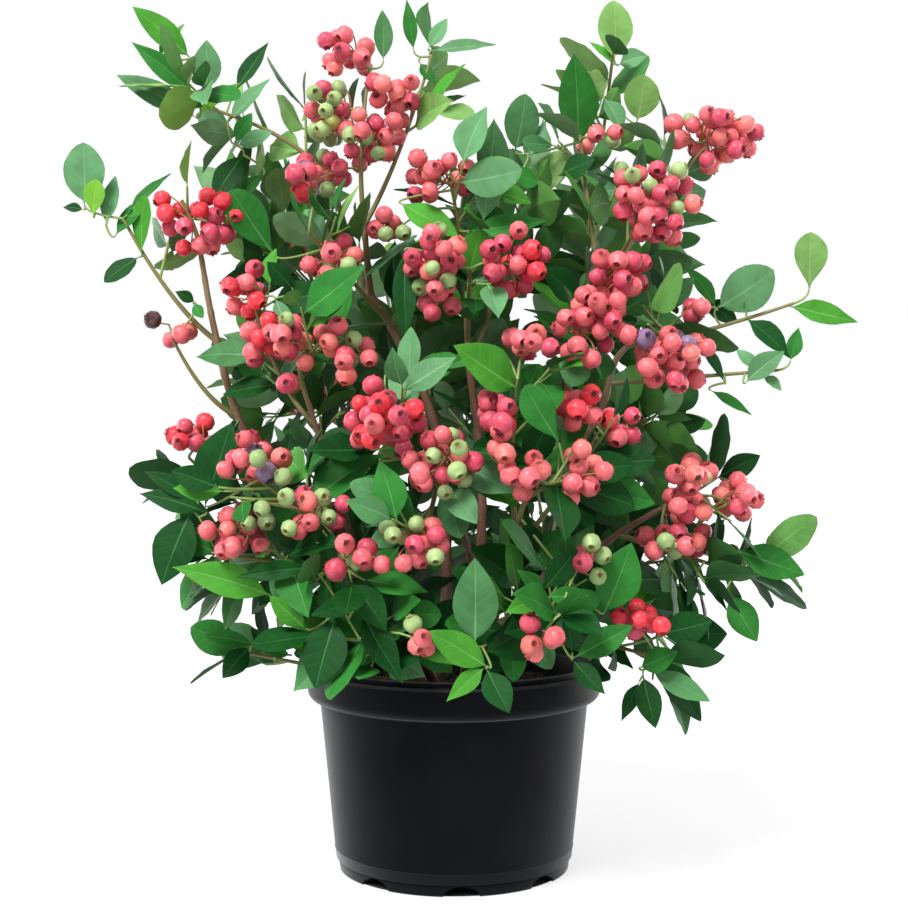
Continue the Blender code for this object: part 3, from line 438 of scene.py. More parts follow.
# Leaves that give the outline, by spray: where a leaf begins and ends, its width, the number of its shape and
# its tone.
BLADES = {
    "spray_upper_left": [
        ((-175, 2, 538), (-211, -8, 571), 18, 0, "bright"),
        ((-172, 0, 514), (-213, -10, 547), 15, 3, "green"),
        ((-172, 0, 499), (-222, -8, 527), 18, 0, "grey_green"),
        ((-165, 6, 516), (-165, 0, 550), 21, 0, "grey_green"),
        ((-147, 12, 518), (-127, 16, 555), 13, 3, "dark"),
        ((-151, 8, 497), (-126, 4, 528), 14, 3, "grey_green"),
        ((-169, -4, 500), (-142, -12, 520), 10, 5, "young"), ((-146, 4, 483), (-135, 0, 502), 13, 0, "green"),
        ((-144, 0, 480), (-121, -8, 488), 13, 0, "grey_green"),
        ((-140, 0, 474), (-159, -10, 444), 19, 0, "dark"), ((-127, 2, 461), (-144, -4, 445), 10, 3, "green"),
        ((-197, 4, 539), (-183, 10, 566), 12, 3, "bright")],
    "spray_left_shoulder": [((-117, -20, 405), (-144, -30, 447), 25, 4, "green")],
    "spray_left_shoot": [
        ((-239, -30, 437), (-239, -36, 476), 29, 2, "grey_green"),
        ((-233, -30, 429), (-230, -38, 452), 16, 4, "young"),
        ((-225, -30, 424), (-221, -26, 457), 14, 0, "grey_green"),
        ((-240, -28, 434), (-253, -30, 436), 7, 3, "dark"),
        ((-219, -30, 417), (-201, -24, 444), 16, 0, "green"),
        ((-212, -26, 431), (-187, -22, 462), 9, 3, "green"),
        ((-202, -30, 404), (-201, -34, 443), 16, 4, "bright"),
        ((-204, -30, 403), (-225, -38, 387), 16, 2, "dark")],
    "spray_left_spur": [
        ((-168, -28, 374), (-180, -32, 381), 8, 3, "dark"),
        ((-169, -28, 373), (-162, -34, 364), 8, 0, "green")],
    "spray_right_shoot": [
        ((172, -20, 371), (208, -26, 395), 30, 2, "grey_green"),
        ((172, -16, 371), (154, -10, 402), 12, 3, "green"),
        ((232, -20, 383), (234, -24, 420), 29, 4, "light"),
        ((219, -20, 372), (264, -26, 365), 18, 3, "bright"),
        ((191, -20, 368), (192, -22, 378), 6, 0, "green"), ((191, -20, 364), (219, -30, 339), 16, 5, "dark"),
        ((163, -10, 374), (190, -4, 364), 15, 1, "dark")],
    "spray_right_low_shoot": [
        ((218, -30, 336), (224, -30, 358), 11, 5, "green"),
        ((189, -30, 322), (212, -36, 343), 16, 1, "grey_green"),
        ((197, -28, 330), (185, -24, 345), 10, 1, "grey_green"),
        ((176, -26, 322), (159, -20, 355), 8, 3, "dark"), ((167, -26, 317), (194, -32, 303), 8, 3, "green"),
        ((200, -30, 326), (212, -34, 318), 9, 1, "grey_green")],
    "spray_top": [
        ((84, 26, 483), (83, 18, 545), 31, 0, "green"), ((109, 28, 543), (109, 26, 583), 25, 2, "light"),
        ((112, 26, 539), (129, 16, 544), 15, 1, "grey_green"),
        ((108, 28, 540), (94, 36, 560), 10, 3, "bright"), ((124, 22, 500), (128, 14, 530), 27, 2, "light"),
        ((102, 24, 516), (114, 14, 494), 15, 1, "grey_green")],
    "spray_upper_right": [
        ((41, 12, 478), (48, 4, 515), 24, 2, "sage"), ((50, 10, 473), (61, 12, 501), 11, 3, "grey_green"),
        ((29, -4, 437), (27, -12, 467), 21, 2, "grey_green"), ((71, 6, 462), (92, -6, 471), 20, 0, "dark"),
        ((57, 0, 454), (38, -8, 462), 17, 0, "green")],
    "spray_crest": [((-47, 0, 536), (-47, -4, 569), 13, 0, "sage")],
    "spray_crest_right": [
        ((-27, 10, 545), (-33, 6, 579), 10, 3, "green"), ((-17, 8, 546), (-5, 6, 566), 11, 0, "grey_green"),
        ((-15, 8, 544), (27, 2, 552), 12, 3, "grey_green"), ((-23, 10, 537), (-12, 4, 523), 9, 3, "green")],
    "spray_heart": [
        ((10, -30, 420), (59, -40, 428), 16, 3, "green"), ((-35, -30, 438), (3, -44, 417), 21, 0, "bright")],
    "spray_centre": [((-31, -64, 404), (-30, -78, 350), 15, 0, "dark")],
    "spray_left_chain": [
        ((-112, -62, 374), (-102, -72, 352), 12, 2, "grey_green"),
        ((-102, -60, 381), (-116, -70, 396), 13, 0, "dark")],
    "spray_middle_left": [((-40, -96, 326), (-22, -110, 311), 16, 2, "grey_green")],
    "spray_middle_right": [((26, -100, 340), (-8, -112, 330), 11, 3, "green")],
    "spray_left_middle": [((-152, -92, 246), (-137, -100, 296), 33, 0, "dark")],
    "spray_low_left": [
        ((-162, -84, 241), (-180, -94, 198), 30, 0, "dark"),
        ((-153, -84, 241), (-193, -88, 255), 16, 3, "dark"),
        ((-159, -82, 248), (-191, -84, 268), 12, 3, "dark"),
        ((-110, -100, 191), (-168, -112, 211), 21, 3, "bright")],
    "spray_front_low_left": [
        ((-86, -118, 210), (-128, -130, 206), 12, 3, "dark"),
        ((-88, -122, 174), (-108, -132, 194), 14, 0, "bright"),
        ((-70, -124, 181), (-81, -140, 142), 27, 0, "dark"),
        ((-55, -126, 185), (-29, -142, 147), 19, 3, "dark"),
        ((-54, -124, 191), (-83, -136, 184), 12, 0, "dark")],
    "spray_low_left_twig": [
        ((-133, -28, 150), (-149, -40, 132), 16, 0, "dark"),
        ((-130, -26, 151), (-164, -34, 159), 11, 3, "green"),
        ((-116, -26, 148), (-131, -34, 162), 11, 1, "dark"),
        ((-107, -24, 144), (-124, -34, 149), 8, 3, "green")],
    "spray_front_low_right": [
        ((12, -134, 166), (12, -146, 217), 27, 0, "sage"),
        ((20, -134, 153), (-14, -148, 176), 19, 0, "bright"),
        ((18, -134, 153), (-3, -148, 136), 12, 3, "bright"),
        ((19, -134, 152), (32, -150, 130), 18, 0, "dark"), ((53, -128, 196), (38, -138, 210), 10, 3, "green"),
        ((53, -126, 198), (72, -132, 222), 16, 0, "dark"), ((55, -128, 194), (79, -138, 196), 12, 0, "green"),
        ((52, -130, 193), (31, -142, 187), 13, 3, "bright"),
        ((54, -130, 191), (60, -142, 168), 14, 0, "dark"),
        ((71, -128, 158), (104, -136, 178), 17, 0, "green"),
        ((70, -126, 156), (88, -140, 140), 14, 3, "dark"), ((70, -124, 160), (68, -134, 188), 13, 1, "dark")],
    "spray_front_right": [((89, -122, 183), (104, -134, 225), 27, 0, "green")],
    "spray_right_side": [
        ((177, -66, 216), (219, -74, 203), 24, 0, "green"),
        ((172, -70, 189), (188, -80, 161), 19, 0, "green")],
    "spray_low_right": [
        ((116, -90, 141), (122, -104, 112), 16, 0, "dark"), ((114, -88, 137), (103, -98, 115), 10, 3, "dark"),
        ((121, -90, 144), (156, -100, 128), 15, 0, "sage"),
        ((127, -90, 167), (156, -102, 176), 21, 0, "dark"),
        ((114, -90, 146), (134, -104, 158), 16, 0, "green")],
}

# The plain colours of a leaf: its upper side, its midrib and its underside.
LEAF_TONES = {
    "dark": ((0.0030, 0.042, 0.0058), (0.014, 0.085, 0.015), (0.020, 0.078, 0.021)),
    "green": ((0.0165, 0.122, 0.0165), (0.045, 0.180, 0.036), (0.044, 0.145, 0.038)),
    "bright": ((0.042, 0.200, 0.018), (0.090, 0.270, 0.042), (0.080, 0.215, 0.048)),
    "sage": ((0.050, 0.158, 0.054), (0.095, 0.225, 0.085), (0.085, 0.195, 0.080)),
    "grey_green": ((0.078, 0.205, 0.084), (0.130, 0.280, 0.120), (0.120, 0.240, 0.108)),
    "light": ((0.145, 0.295, 0.076), (0.210, 0.370, 0.110), (0.180, 0.325, 0.102)),
    "young": ((0.110, 0.290, 0.026), (0.185, 0.370, 0.052), (0.160, 0.320, 0.058)),
}
# How often a tone comes up in a leafage.
# The low sprays' leafages hold more dark leaves and the top ones' more pale: partly the leaves' own colour,
# partly painted shade low in the bush and painted light at its top.
LEAFAGES = {
    "deep": {"dark": 12, "green": 8, "bright": 3, "sage": 2},
    "crown": {"dark": 6, "green": 7, "bright": 6, "sage": 4, "grey_green": 3},
    "upper": {"dark": 3, "green": 5, "bright": 5, "sage": 5, "grey_green": 5, "light": 2},
    "pale": {"green": 3, "bright": 3, "grey_green": 7, "light": 4, "young": 2},
    "young": {"green": 2, "bright": 3, "grey_green": 2, "light": 7, "young": 2},
}
# The plain colours of a berry: its skin, its crown and its eye.
BERRY_TONES = {
    "pink": ((0.630, 0.098, 0.114), (0.400, 0.042, 0.050), (0.100, 0.016, 0.018)),
    "coral": ((0.680, 0.134, 0.118), (0.450, 0.068, 0.050), (0.110, 0.024, 0.018)),
    "rose": ((0.500, 0.040, 0.080), (0.270, 0.016, 0.032), (0.070, 0.010, 0.014)),
    "red": ((0.640, 0.016, 0.032), (0.330, 0.008, 0.015), (0.070, 0.006, 0.008)),
    "green": ((0.240, 0.350, 0.120), (0.180, 0.215, 0.060), (0.090, 0.065, 0.022)),
    "yellow_green": ((0.440, 0.470, 0.105), (0.320, 0.270, 0.050), (0.130, 0.075, 0.020)),
    "violet": ((0.170, 0.100, 0.190), (0.080, 0.038, 0.080), (0.028, 0.012, 0.022)),
    "brown": ((0.055, 0.015, 0.012), (0.040, 0.012, 0.010), (0.015, 0.006, 0.005)),
}
RIPENESS = {
    "pink": {"pink": 10, "coral": 4, "rose": 4, "green": 1},
    "deep": {"red": 7, "rose": 6, "pink": 3},
    "mixed": {"pink": 9, "rose": 4, "coral": 2, "green": 4},
    "unripe": {"green": 8, "yellow_green": 3, "pink": 5, "rose": 2},
    "ripe": {"brown": 1},
    "dusky": {"pink": 8, "coral": 3, "rose": 3, "violet": 3, "green": 1},
}
WOOD_TONES = {
    "olive": (0.150, 0.135, 0.036),
    "green": (0.170, 0.260, 0.060),
    "reddish": (0.260, 0.120, 0.050),
}
# Which part of the crown a spray's leaves, fruit and twigs are joined into.
SIDES = ("left", "middle", "right", "back")


def main():
    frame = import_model()
    assert set(LIMBS) | set(SPRAYS) < set(frame["nodes"])
    set_camera()
    set_lights()
    make_pot()
    make_soil()
    limbs = make_limbs()
    make_crown(limbs)


class Value:
    """A socket on which sums are written as Python expressions."""

    def __init__(self, graph, socket):
        self.graph = graph
        self.socket = socket

    def __add__(self, other):
        return self.graph.maths("ADD", self, other)

    def __sub__(self, other):
        return self.graph.maths("SUBTRACT", self, other)

    def __mul__(self, other):
        return self.graph.maths("MULTIPLY", self, other)

    __radd__ = __add__
    __rmul__ = __mul__


class Graph:
    """A tree of nodes, of a material or of Geometry Nodes."""

    def __init__(self, tree):
        self.tree = tree

    def node(self, kind, settings=None, sockets=None, outlet=0):
        """Adds a node with its settings and its sockets' values or links, and gives one of its outlets."""
        node = self.tree.nodes.new(kind)
        for name, value in (settings or {}).items():
            if name == "stops":
                self.set_stops(node.color_ramp.elements, value)
            else:
                setattr(node, name, value)
        for name, value in (sockets or {}).items():
            if isinstance(value, Value):
                self.tree.links.new(value.socket, node.inputs[name])
            else:
                node.inputs[name].default_value = value
        return Value(self, node.outputs[outlet]) if node.outputs else None

    def set_stops(self, elements, stops):
        while len(elements) < len(stops):
            elements.new(0.5)
        for element, (place, level) in zip(elements, stops):
            element.position = place
            element.color = (level, level, level, 1)

    def maths(self, operation, one, other):
        return self.node("ShaderNodeMath", {"operation": operation}, {0: one, 1: other})

    def mixed(self, share, *colours):
        """Two colours mixed, with the share of the second. Each is a value or three levels."""
        first, second = [colour if isinstance(colour, Value) else (*colour, 1) for colour in colours]
        return self.node("ShaderNodeMix", {"data_type": "RGBA"}, {0: share, 6: first, 7: second}, 2)

    def ramp(self, share, *stops):
        return self.node("ShaderNodeValToRGB", {"stops": stops}, {"Fac": share})


class Finish(Graph):
    """A material in the making."""

    def __init__(self, name, colour, roughness, specular=0.5):
        self.material = bpy.data.materials.new(name)
        self.material.use_nodes = True
        super().__init__(self.material.node_tree)
        self.shader = self.tree.nodes["Principled BSDF"]
        self.set("Base Color", (*colour, 1))
        self.set("Roughness", roughness)
        self.set("Specular IOR Level", specular)

    def set(self, name, value):
        if isinstance(value, Value):
            self.tree.links.new(value.socket, self.shader.inputs[name])
        else:
            self.shader.inputs[name].default_value = value

    def place(self, stretch=(1, 1, 1)):
        """Object coordinates, stretched."""
        coordinates = self.node("ShaderNodeTexCoord", outlet="Object")
        return self.node("ShaderNodeMapping", {}, {"Vector": coordinates, "Scale": stretch})

    def height(self):
        coordinates = self.node("ShaderNodeTexCoord", outlet="Object")
        return self.node("ShaderNodeSeparateXYZ", {}, {0: coordinates}, 2)

    def marked(self, name):
        """What the mesh holds under this name."""
        return self.node("ShaderNodeAttribute", {"attribute_name": name}, outlet="Fac")

    def grain(self, scale, detail, roughness=0.5, stretch=(1, 1, 1)):
        sockets = {"Vector": self.place(stretch), "Scale": scale, "Detail": detail, "Roughness": roughness}
        return self.node("ShaderNodeTexNoise", {}, sockets)

    def band(self, share, low, high):
        """0 where the share is below low, 1 where it is above high."""
        return self.ramp(share, (low, 0), (high, 1))

    def shades(self, share, colour, darkest, palest, haze):
        """From the colour at its darkest to the colour at its palest with some haze."""
        deep = [level * darkest for level in colour]
        pale = [level * palest + haze for level in colour]
        return self.mixed(share, deep, pale)

    def raise_surface(self, height, distance):
        self.set("Normal", self.node("ShaderNodeBump", {}, {"Height": height, "Distance": distance}))


def plain_finish(name, colour, roughness, specular=0.5, cloud=0.0, scale=1.0):
    """A plain colour, or one that is clouded by lighter and darker places."""
    finish = Finish(name, colour, roughness, specular)
    if cloud:
        share = finish.band(finish.grain(scale, 2), 0.32, 0.68)
        finish.set("Base Color", finish.shades(share, colour, 1 - cloud, 1 + cloud, 0.02 * cloud))
    return finish.material


def leaf_finish(name, colour, vein_colour, roughness):
    """A leaf's own shade, clouded, with paler side veins."""
    finish = Finish(name, colour, roughness, LEAF_SPECULAR)
    cloud = finish.band(finish.grain(70, 2), 0.32, 0.68)
    blade = finish.shades(finish.marked("shade") * 0.55 + cloud * 0.45, colour, 0.70, 1.30, 0.003)
    off = finish.node("ShaderNodeMath", {"operation": "PINGPONG"}, {0: finish.marked("veins"), 1: 0.5})
    vein = finish.ramp(off, (0.02, 1), (0.12, 0))
    finish.set("Base Color", finish.mixed(vein * VEIN_STRENGTH, blade, vein_colour))
    finish.set("Roughness", roughness + cloud * 0.10)
    finish.raise_surface(off * 0.6 + cloud * 0.4, LEAF_RELIEF)
    return finish.material


def berry_finish(name, colour, roughness):
    """A berry's own shade with a pale bloom, rubbed off in places."""
    finish = Finish(name, colour, roughness, BERRY_SPECULAR)
    cloud = finish.band(finish.grain(120, 3), 0.34, 0.66)
    bloom = finish.band(finish.grain(300, 4, 0.6), 0.42, 0.66)
    skin = finish.shades(finish.marked("shade") * 0.45 + cloud * 0.55, colour, 0.66, 1.22, 0.012)
    hazy = [level * 0.55 + 0.30 for level in colour]
    finish.set("Base Color", finish.mixed(bloom * BLOOM_STRENGTH, skin, hazy))
    finish.set("Roughness", roughness + bloom * 0.15)
    return finish.material


def pot_finish():
    """Black moulded plastic with a soft sheen, dusty in places, with pale lines of painted highlight along
    its edges.
    """
    finish = Finish("pot_plastic", POT_COLOURS["plain"], 0.3, 0.04)
    finish.set("Sheen Weight", 0.18)
    finish.set("Sheen Roughness", 0.45)
    finish.set("Sheen Tint", (0.93, 0.96, 1, 1))
    cloud = finish.grain(24, 4, 0.6)
    drawn = finish.grain(160, 3, stretch=(1, 1, 0.12))
    plain = finish.mixed(finish.band(cloud, 0.45, 0.8) * 0.5, POT_COLOURS["clean"], POT_COLOURS["dusty"])
    share = finish.height() * (1 / POT_HEIGHT)
    # Pale bands of painted highlight on the lip, the rim's edge and the rim's foot, broken up by the dust.
    painted_highlight = sum(finish.ramp(share, *stops) for stops in PAINTED_HIGHLIGHT_BANDS) * (0.55 + cloud * 0.45)
    finish.set("Base Color", finish.mixed(painted_highlight, plain, POT_COLOURS["painted_highlight"]))
    finish.set("Roughness", 0.24 + cloud * 0.10 + drawn * 0.08)
    finish.raise_surface(finish.grain(1500, 2) * 0.5 + drawn * 0.5, POT_RELIEF)
    return finish.material


def soil_finish():
    """Dark crumbs, with bits of bark among them."""
    finish = Finish("potting_mix", SOIL_COLOURS["plain"], 0.9)
    crumb = finish.grain(260, 5, 0.7)
    bits = finish.band(finish.grain(190, 2), 0.60, 0.68)
    dark = finish.mixed(crumb, SOIL_COLOURS["dark"], SOIL_COLOURS["pale"])
    finish.set("Base Color", finish.mixed(bits * 0.8, dark, SOIL_COLOURS["bits"]))
    finish.raise_surface(crumb, SOIL_RELIEF)
    return finish.material


def bark_finish():
    """Red-brown bark, greyer in long streaks, with pale pores, and olive where the wood is young."""
    finish = Finish("bark", BARK_COLOURS["plain"], 0.6)
    streaks = finish.grain(420, 4, 0.6, stretch=(1, 1, 0.10))
    patches = finish.grain(46, 3)
    pores = finish.band(finish.grain(700, 1, stretch=(1, 1, 0.45)), 0.66, 0.72)
    youth = finish.band((finish.height() - YOUNG_HEIGHT) * 3.2 + patches * 0.5, 0.42, 0.82)
    bark = finish.mixed(streaks, BARK_COLOURS["dark"], BARK_COLOURS["red"])
    bark = finish.mixed(finish.band(patches, 0.48, 0.66) * 0.6, bark, BARK_COLOURS["grey"])
    bark = finish.mixed(youth * 0.75, bark, BARK_COLOURS["young"])
    finish.set("Base Color", finish.mixed(pores * 0.5, bark, BARK_COLOURS["pores"]))
    finish.set("Roughness", 0.5 + streaks * 0.25)
    finish.raise_surface(streaks + pores * 0.6, BARK_RELIEF)
    return finish.material


def new_object(name, mesh):
    obj = bpy.data.objects.new(name, mesh)
    bpy.context.scene.collection.objects.link(obj)
    return obj


def mesh_of(shape, name):
    mesh = bpy.data.meshes.new(name)
    shape.to_mesh(mesh)
    shape.free()
    return mesh


def set_camera():
    lens = bpy.data.cameras.new("camera")
    lens.lens = CAMERA_LENS
    camera = new_object("camera", lens)
    camera.location = CAMERA_PLACE
    camera.rotation_euler = (math.pi / 2 - CAMERA_DOWN, 0, 0)
    bpy.context.scene.camera = camera


def set_lights():
    """A white studio: a bright world and floor, a sun from the upper left front, a light behind each side,
    and a dark disc of painted shade under the pot.
    """
    scene = bpy.context.scene
    scene.view_settings.view_transform = "Standard"
    world = bpy.data.worlds.new("studio")
    world.use_nodes = True
    background = world.node_tree.nodes["Background"]
    background.inputs["Color"].default_value = (1, 1, 1, 1)
    background.inputs["Strength"].default_value = 1.0
    scene.world = world
    sun = new_light("key_light", "SUN", SUN_POWER, (0, 0, 0), SUN_HEADING)
    sun.data.angle = SUN_SPREAD
    across, behind, above = SIDE_LIGHT_PLACE
    for name, side in (("left_light", -1), ("right_light", 1)):
        place, heading = (side * across, behind, above), (-side * across, -behind, -SIDE_LIGHT_DROP)
        light = new_light(name, "AREA", SIDE_LIGHT_POWER, place, heading)
        light.data.size = SIDE_LIGHT_SIZE
        light.visible_camera = False
    glow = new_disc("floor", FLOOR_RADIUS, (0.15, 0.15, 0.15), 0.8)
    glow.set("Emission Color", (1, 1, 1, 1))
    glow.set("Emission Strength", FLOOR_GLOW)
    # A dark disc under the pot, instead of the glowing floor, is painted shade in the arches of its foot.
    new_disc("shade_under_pot", POT_FOOT_RADIUS - 0.002, (0.02, 0.02, 0.02), 0.9, 0.0002)


def new_light(name, kind, power, place, heading):
    light = new_object(name, bpy.data.lights.new(name, kind))
    light.data.energy = power
    light.location = place
    light.rotation_euler = Vector(heading).to_track_quat("-Z", "Y").to_euler()
    return light


def new_disc(name, radius, colour, roughness, height=0.0):
    """A flat disc of the studio round the pot's axis, and its finish."""
    shape = bmesh.new()
    bmesh.ops.create_circle(shape, cap_ends=True, segments=DISC_STEPS, radius=radius)
    disc = new_object(name, mesh_of(shape, name))
    disc.location.z = height
    finish = Finish(name, colour, roughness)
    disc.data.materials.append(finish.material)
    return finish


def dressed(obj, slot, *nodes):
    """Attaches a finished piece to the root body and hides the solids it stands for. Its slot is not used."""
    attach(obj, "root")
    if nodes:
        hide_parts(*nodes)


def body_radius(height):
    """The outer radius of the pot's tapered body."""
    share = (height - SKIRT_HEIGHT) / (RIM_FOOT_HEIGHT - SKIRT_HEIGHT)
    return BODY_FOOT_RADIUS + share * (BODY_TOP_RADIUS - BODY_FOOT_RADIUS)


def arc(middle, radius, first, last, steps):
    """Points on an arc, from one angle to another in degrees above outward."""
    turns = [math.radians(first + (last - first) * step / steps) for step in range(steps + 1)]
    return [(middle[0] + radius * math.cos(turn), middle[1] + radius * math.sin(turn)) for turn in turns]


def pot_profile():
    """The pot's section as (radius, height), from the middle of its floor over its lip and down its outside.

    The steps of about a millimetre and less ease the corners between the named ones.
    """
    lip_middle = (LIP_RADIUS, POT_HEIGHT - LIP_ROUND)
    edge_middle = (RIM_RADIUS - EDGE_ROUND, RIM_TOP_HEIGHT - EDGE_ROUND)
    roll_middle = (RIM_RADIUS - RIM_ROLL, RIM_FOOT_HEIGHT + RIM_ROLL)
    neck_radius = body_radius(RIM_FOOT_HEIGHT)
    seam = MOULD_LINE_HEIGHT
    return [
        (0, SKIRT_HEIGHT),
        (body_radius(SKIRT_HEIGHT) - POT_WALL, SKIRT_HEIGHT),
        (neck_radius - POT_WALL, RIM_FOOT_HEIGHT),
        *arc(lip_middle, LIP_ROUND, 180, 0, 8),
        (LIP_RADIUS + LIP_ROUND, RIM_TOP_HEIGHT + 0.0012),
        (LIP_RADIUS + LIP_ROUND + 0.0006, RIM_TOP_HEIGHT + 0.0004),
        *arc(edge_middle, EDGE_ROUND, 90, 0, 4),
        *arc(roll_middle, RIM_ROLL, 0, -62, 7),
        (neck_radius + 0.0014, RIM_FOOT_HEIGHT + 0.0001),
        (neck_radius + 0.0003, RIM_FOOT_HEIGHT - 0.0003),
        (body_radius(RIM_FOOT_HEIGHT - 0.002), RIM_FOOT_HEIGHT - 0.002),
        (body_radius(seam + 0.0006), seam + 0.0006),
        (body_radius(seam) + MOULD_LINE_PROUD, seam),
        (body_radius(seam - 0.0006), seam - 0.0006),
        (BODY_FOOT_RADIUS, SKIRT_HEIGHT),
        (BODY_FOOT_RADIUS - 0.0004, SKIRT_HEIGHT - 0.0006),
        (SKIRT_RADIUS, SKIRT_HEIGHT - POT_WALL / 2),
        (POT_FOOT_RADIUS, FOOT_ROUND),
        *arc((POT_FOOT_RADIUS - FOOT_ROUND, FOOT_ROUND), FOOT_ROUND, 0, -90, 4)[1:],
        (0, 0),
    ]


def turned(name, profile, steps):
    """A closed solid turned about the pot's axis."""
    shape = bmesh.new()
    points = [shape.verts.new((radius, 0, height)) for radius, height in profile]
    edges = [shape.edges.new(pair) for pair in zip(points, points[1:])]
    bmesh.ops.spin(shape, geom=[*points, *edges], axis=UP, cent=(0, 0, 0), steps=steps, angle=math.tau)
    bmesh.ops.remove_doubles(shape, verts=shape.verts, dist=0.00001)
    bmesh.ops.recalc_face_normals(shape, faces=shape.faces)
    return new_object(name, mesh_of(shape, name))


def make_pot():
    pot = turned("nursery_pot", pot_profile(), POT_STEPS)
    shape = bmesh.new()
    squash = Matrix.Diagonal((ARCH_WIDTH / 2, 1, ARCH_HEIGHT, 1))
    lying = Matrix.Rotation(math.pi / 2, 4, "X")
    for number in range(ARCHES):
        turn = Matrix.Rotation(FIRST_ARCH + number * math.tau / ARCHES, 4, "Z")
        place = turn @ Matrix.Translation((0, -SKIRT_RADIUS, 0)) @ squash @ lying
        bmesh.ops.create_cone(
            shape, cap_ends=True, segments=ARCH_STEPS, radius1=1, radius2=1, depth=2 * ARCH_DEPTH,
            matrix=place)
    cutters = new_object("arches", mesh_of(shape, "arches"))
    cut = pot.modifiers.new("arches", "BOOLEAN")
    cut.operation = "DIFFERENCE"
    cut.object = cutters
    pot.data = plain_mesh(pot, cut)
    bpy.data.objects.remove(cutters)
    pot.data.shade_smooth()
    pot.data.set_sharp_from_angle(angle=SHARP_ANGLE)
    pot.data.materials.clear()
    pot.data.materials.append(pot_finish())
    dressed(pot, "pot_plastic", "pot")


def plain_mesh(obj, modifier):
    """The object's mesh with its modifier applied and removed."""
    graph = bpy.context.evaluated_depsgraph_get()
    mesh = bpy.data.meshes.new_from_object(obj.evaluated_get(graph))
    obj.modifiers.remove(modifier)
    return mesh


def soil_height(x, y):
    lumps = noise.noise((x * 90, y * 90, 3)) + 0.6 * noise.noise((x * 210, y * 210, 8))
    return SOIL_TOP - SOIL_SUNK + SOIL_LUMPS * lumps


def make_soil():
    """The potting mix: a lumpy top over a plain body that fills the pot, and loose crumbs on it."""
    neck_radius = body_radius(RIM_FOOT_HEIGHT) - POT_WALL
    slope = (LIP_RADIUS - LIP_ROUND - neck_radius) / (POT_HEIGHT - LIP_ROUND - RIM_FOOT_HEIGHT)
    edge_radius = neck_radius + slope * (SOIL_TOP - RIM_FOOT_HEIGHT) - SOIL_EDGE_GAP
    profile = [
        *[(edge_radius * ring / SOIL_RINGS, SOIL_TOP) for ring in range(SOIL_RINGS + 1)],
        (neck_radius - SOIL_GAP, RIM_FOOT_HEIGHT),
        (body_radius(SKIRT_HEIGHT) - POT_WALL - SOIL_GAP, SKIRT_HEIGHT + SOIL_GAP),
        (0, SKIRT_HEIGHT + SOIL_GAP),
    ]
    soil = turned("soil", profile, SOIL_STEPS)
    for point in soil.data.vertices:
        if point.co.z > SOIL_TOP - 0.001:
            point.co.z = soil_height(point.co.x, point.co.y)
    soil.data.shade_smooth()
    soil.data.materials.append(soil_finish())
    dressed(soil, "potting_mix", "potting_mix")
    make_crumbs(edge_radius - CRUMB_EDGE_GAP)


def make_crumbs(edge_radius):
    chance = random.Random("crumbs")
    shapes = bpy.data.collections.new("crumb_shapes")
    for number in range(CRUMB_SHAPES):
        shape = bmesh.new()
        bmesh.ops.create_icosphere(shape, subdivisions=1, radius=1)
        for point in shape.verts:
            point.co *= chance.uniform(0.65, 1.1)
        shapes.objects.link(bpy.data.objects.new(f"crumb_{number}", mesh_of(shape, "crumb")))
    crumbs = []
    for number in range(CRUMBS):
        radius = edge_radius * math.sqrt(chance.random())
        turn = chance.uniform(0, math.tau)
        x, y = radius * math.cos(turn), radius * math.sin(turn)
        size = chance.choice(CRUMB_SIZES)
        axis = Vector((chance.uniform(-1, 1), chance.uniform(-1, 1), 0.5))
        turn = Quaternion(axis, chance.uniform(0, math.tau))
        spread = (size * chance.uniform(0.7, 1.9), size * chance.uniform(0.7, 1.2), size * 0.8)
        crumbs.append(((x, y, soil_height(x, y) + size * 0.3), turn, spread, number % CRUMB_SHAPES))
    crumbs = [Piece(*crumb, "bark_bit" if chance.random() < BARK_BITS else "dark_bit") for crumb in crumbs]
    tree = scatter_tree("crumbs", [[plain_finish(name, *look)] for name, look in CRUMB_TONES.items()])
    dressed(scattered("soil_crumbs", tree, shapes, crumbs, list(CRUMB_TONES)), "potting_mix")


def new_tree(name, sockets):
    """A Geometry Nodes tree with its named inputs, as a graph, and the outlets of those inputs."""
    tree = bpy.data.node_groups.new(name, "GeometryNodeTree")
    tree.interface.new_socket("Geometry", in_out="INPUT", socket_type="NodeSocketGeometry")
    tree.interface.new_socket("Geometry", in_out="OUTPUT", socket_type="NodeSocketGeometry")
    for label, kind in sockets.items():
        tree.interface.new_socket(label, in_out="INPUT", socket_type=f"NodeSocket{kind}")
    graph = Graph(tree)
    entry = tree.nodes.new("NodeGroupInput")
    return graph, {outlet.name: Value(graph, outlet) for outlet in entry.outputs if outlet.name}


def named(graph, name, kind):
    """An attribute of the geometry by its name."""
    return graph.node("GeometryNodeInputNamedAttribute", {"data_type": kind}, {"Name": name})


def painted(graph, geometry, materials):
    """Gives each face the material of its tone and part, from a table of materials, and ends the tree."""
    equal = {"data_type": "INT", "operation": "EQUAL"}
    tone, part = named(graph, "tone", "INT"), named(graph, "part", "INT")
    for tone_number, parts in enumerate(materials):
        same_tone = graph.node("FunctionNodeCompare", equal, {2: tone, 3: tone_number})
        for part_number, material in enumerate(parts):
            same_part = graph.node("FunctionNodeCompare", equal, {2: part, 3: part_number})
            both = graph.node("FunctionNodeBooleanMath", {"operation": "AND"}, {0: same_tone, 1: same_part})
            sockets = {"Geometry": geometry, "Selection": both, "Material": material}
            geometry = graph.node("GeometryNodeSetMaterial", {}, sockets)
    graph.node("NodeGroupOutput", {}, {"Geometry": geometry})


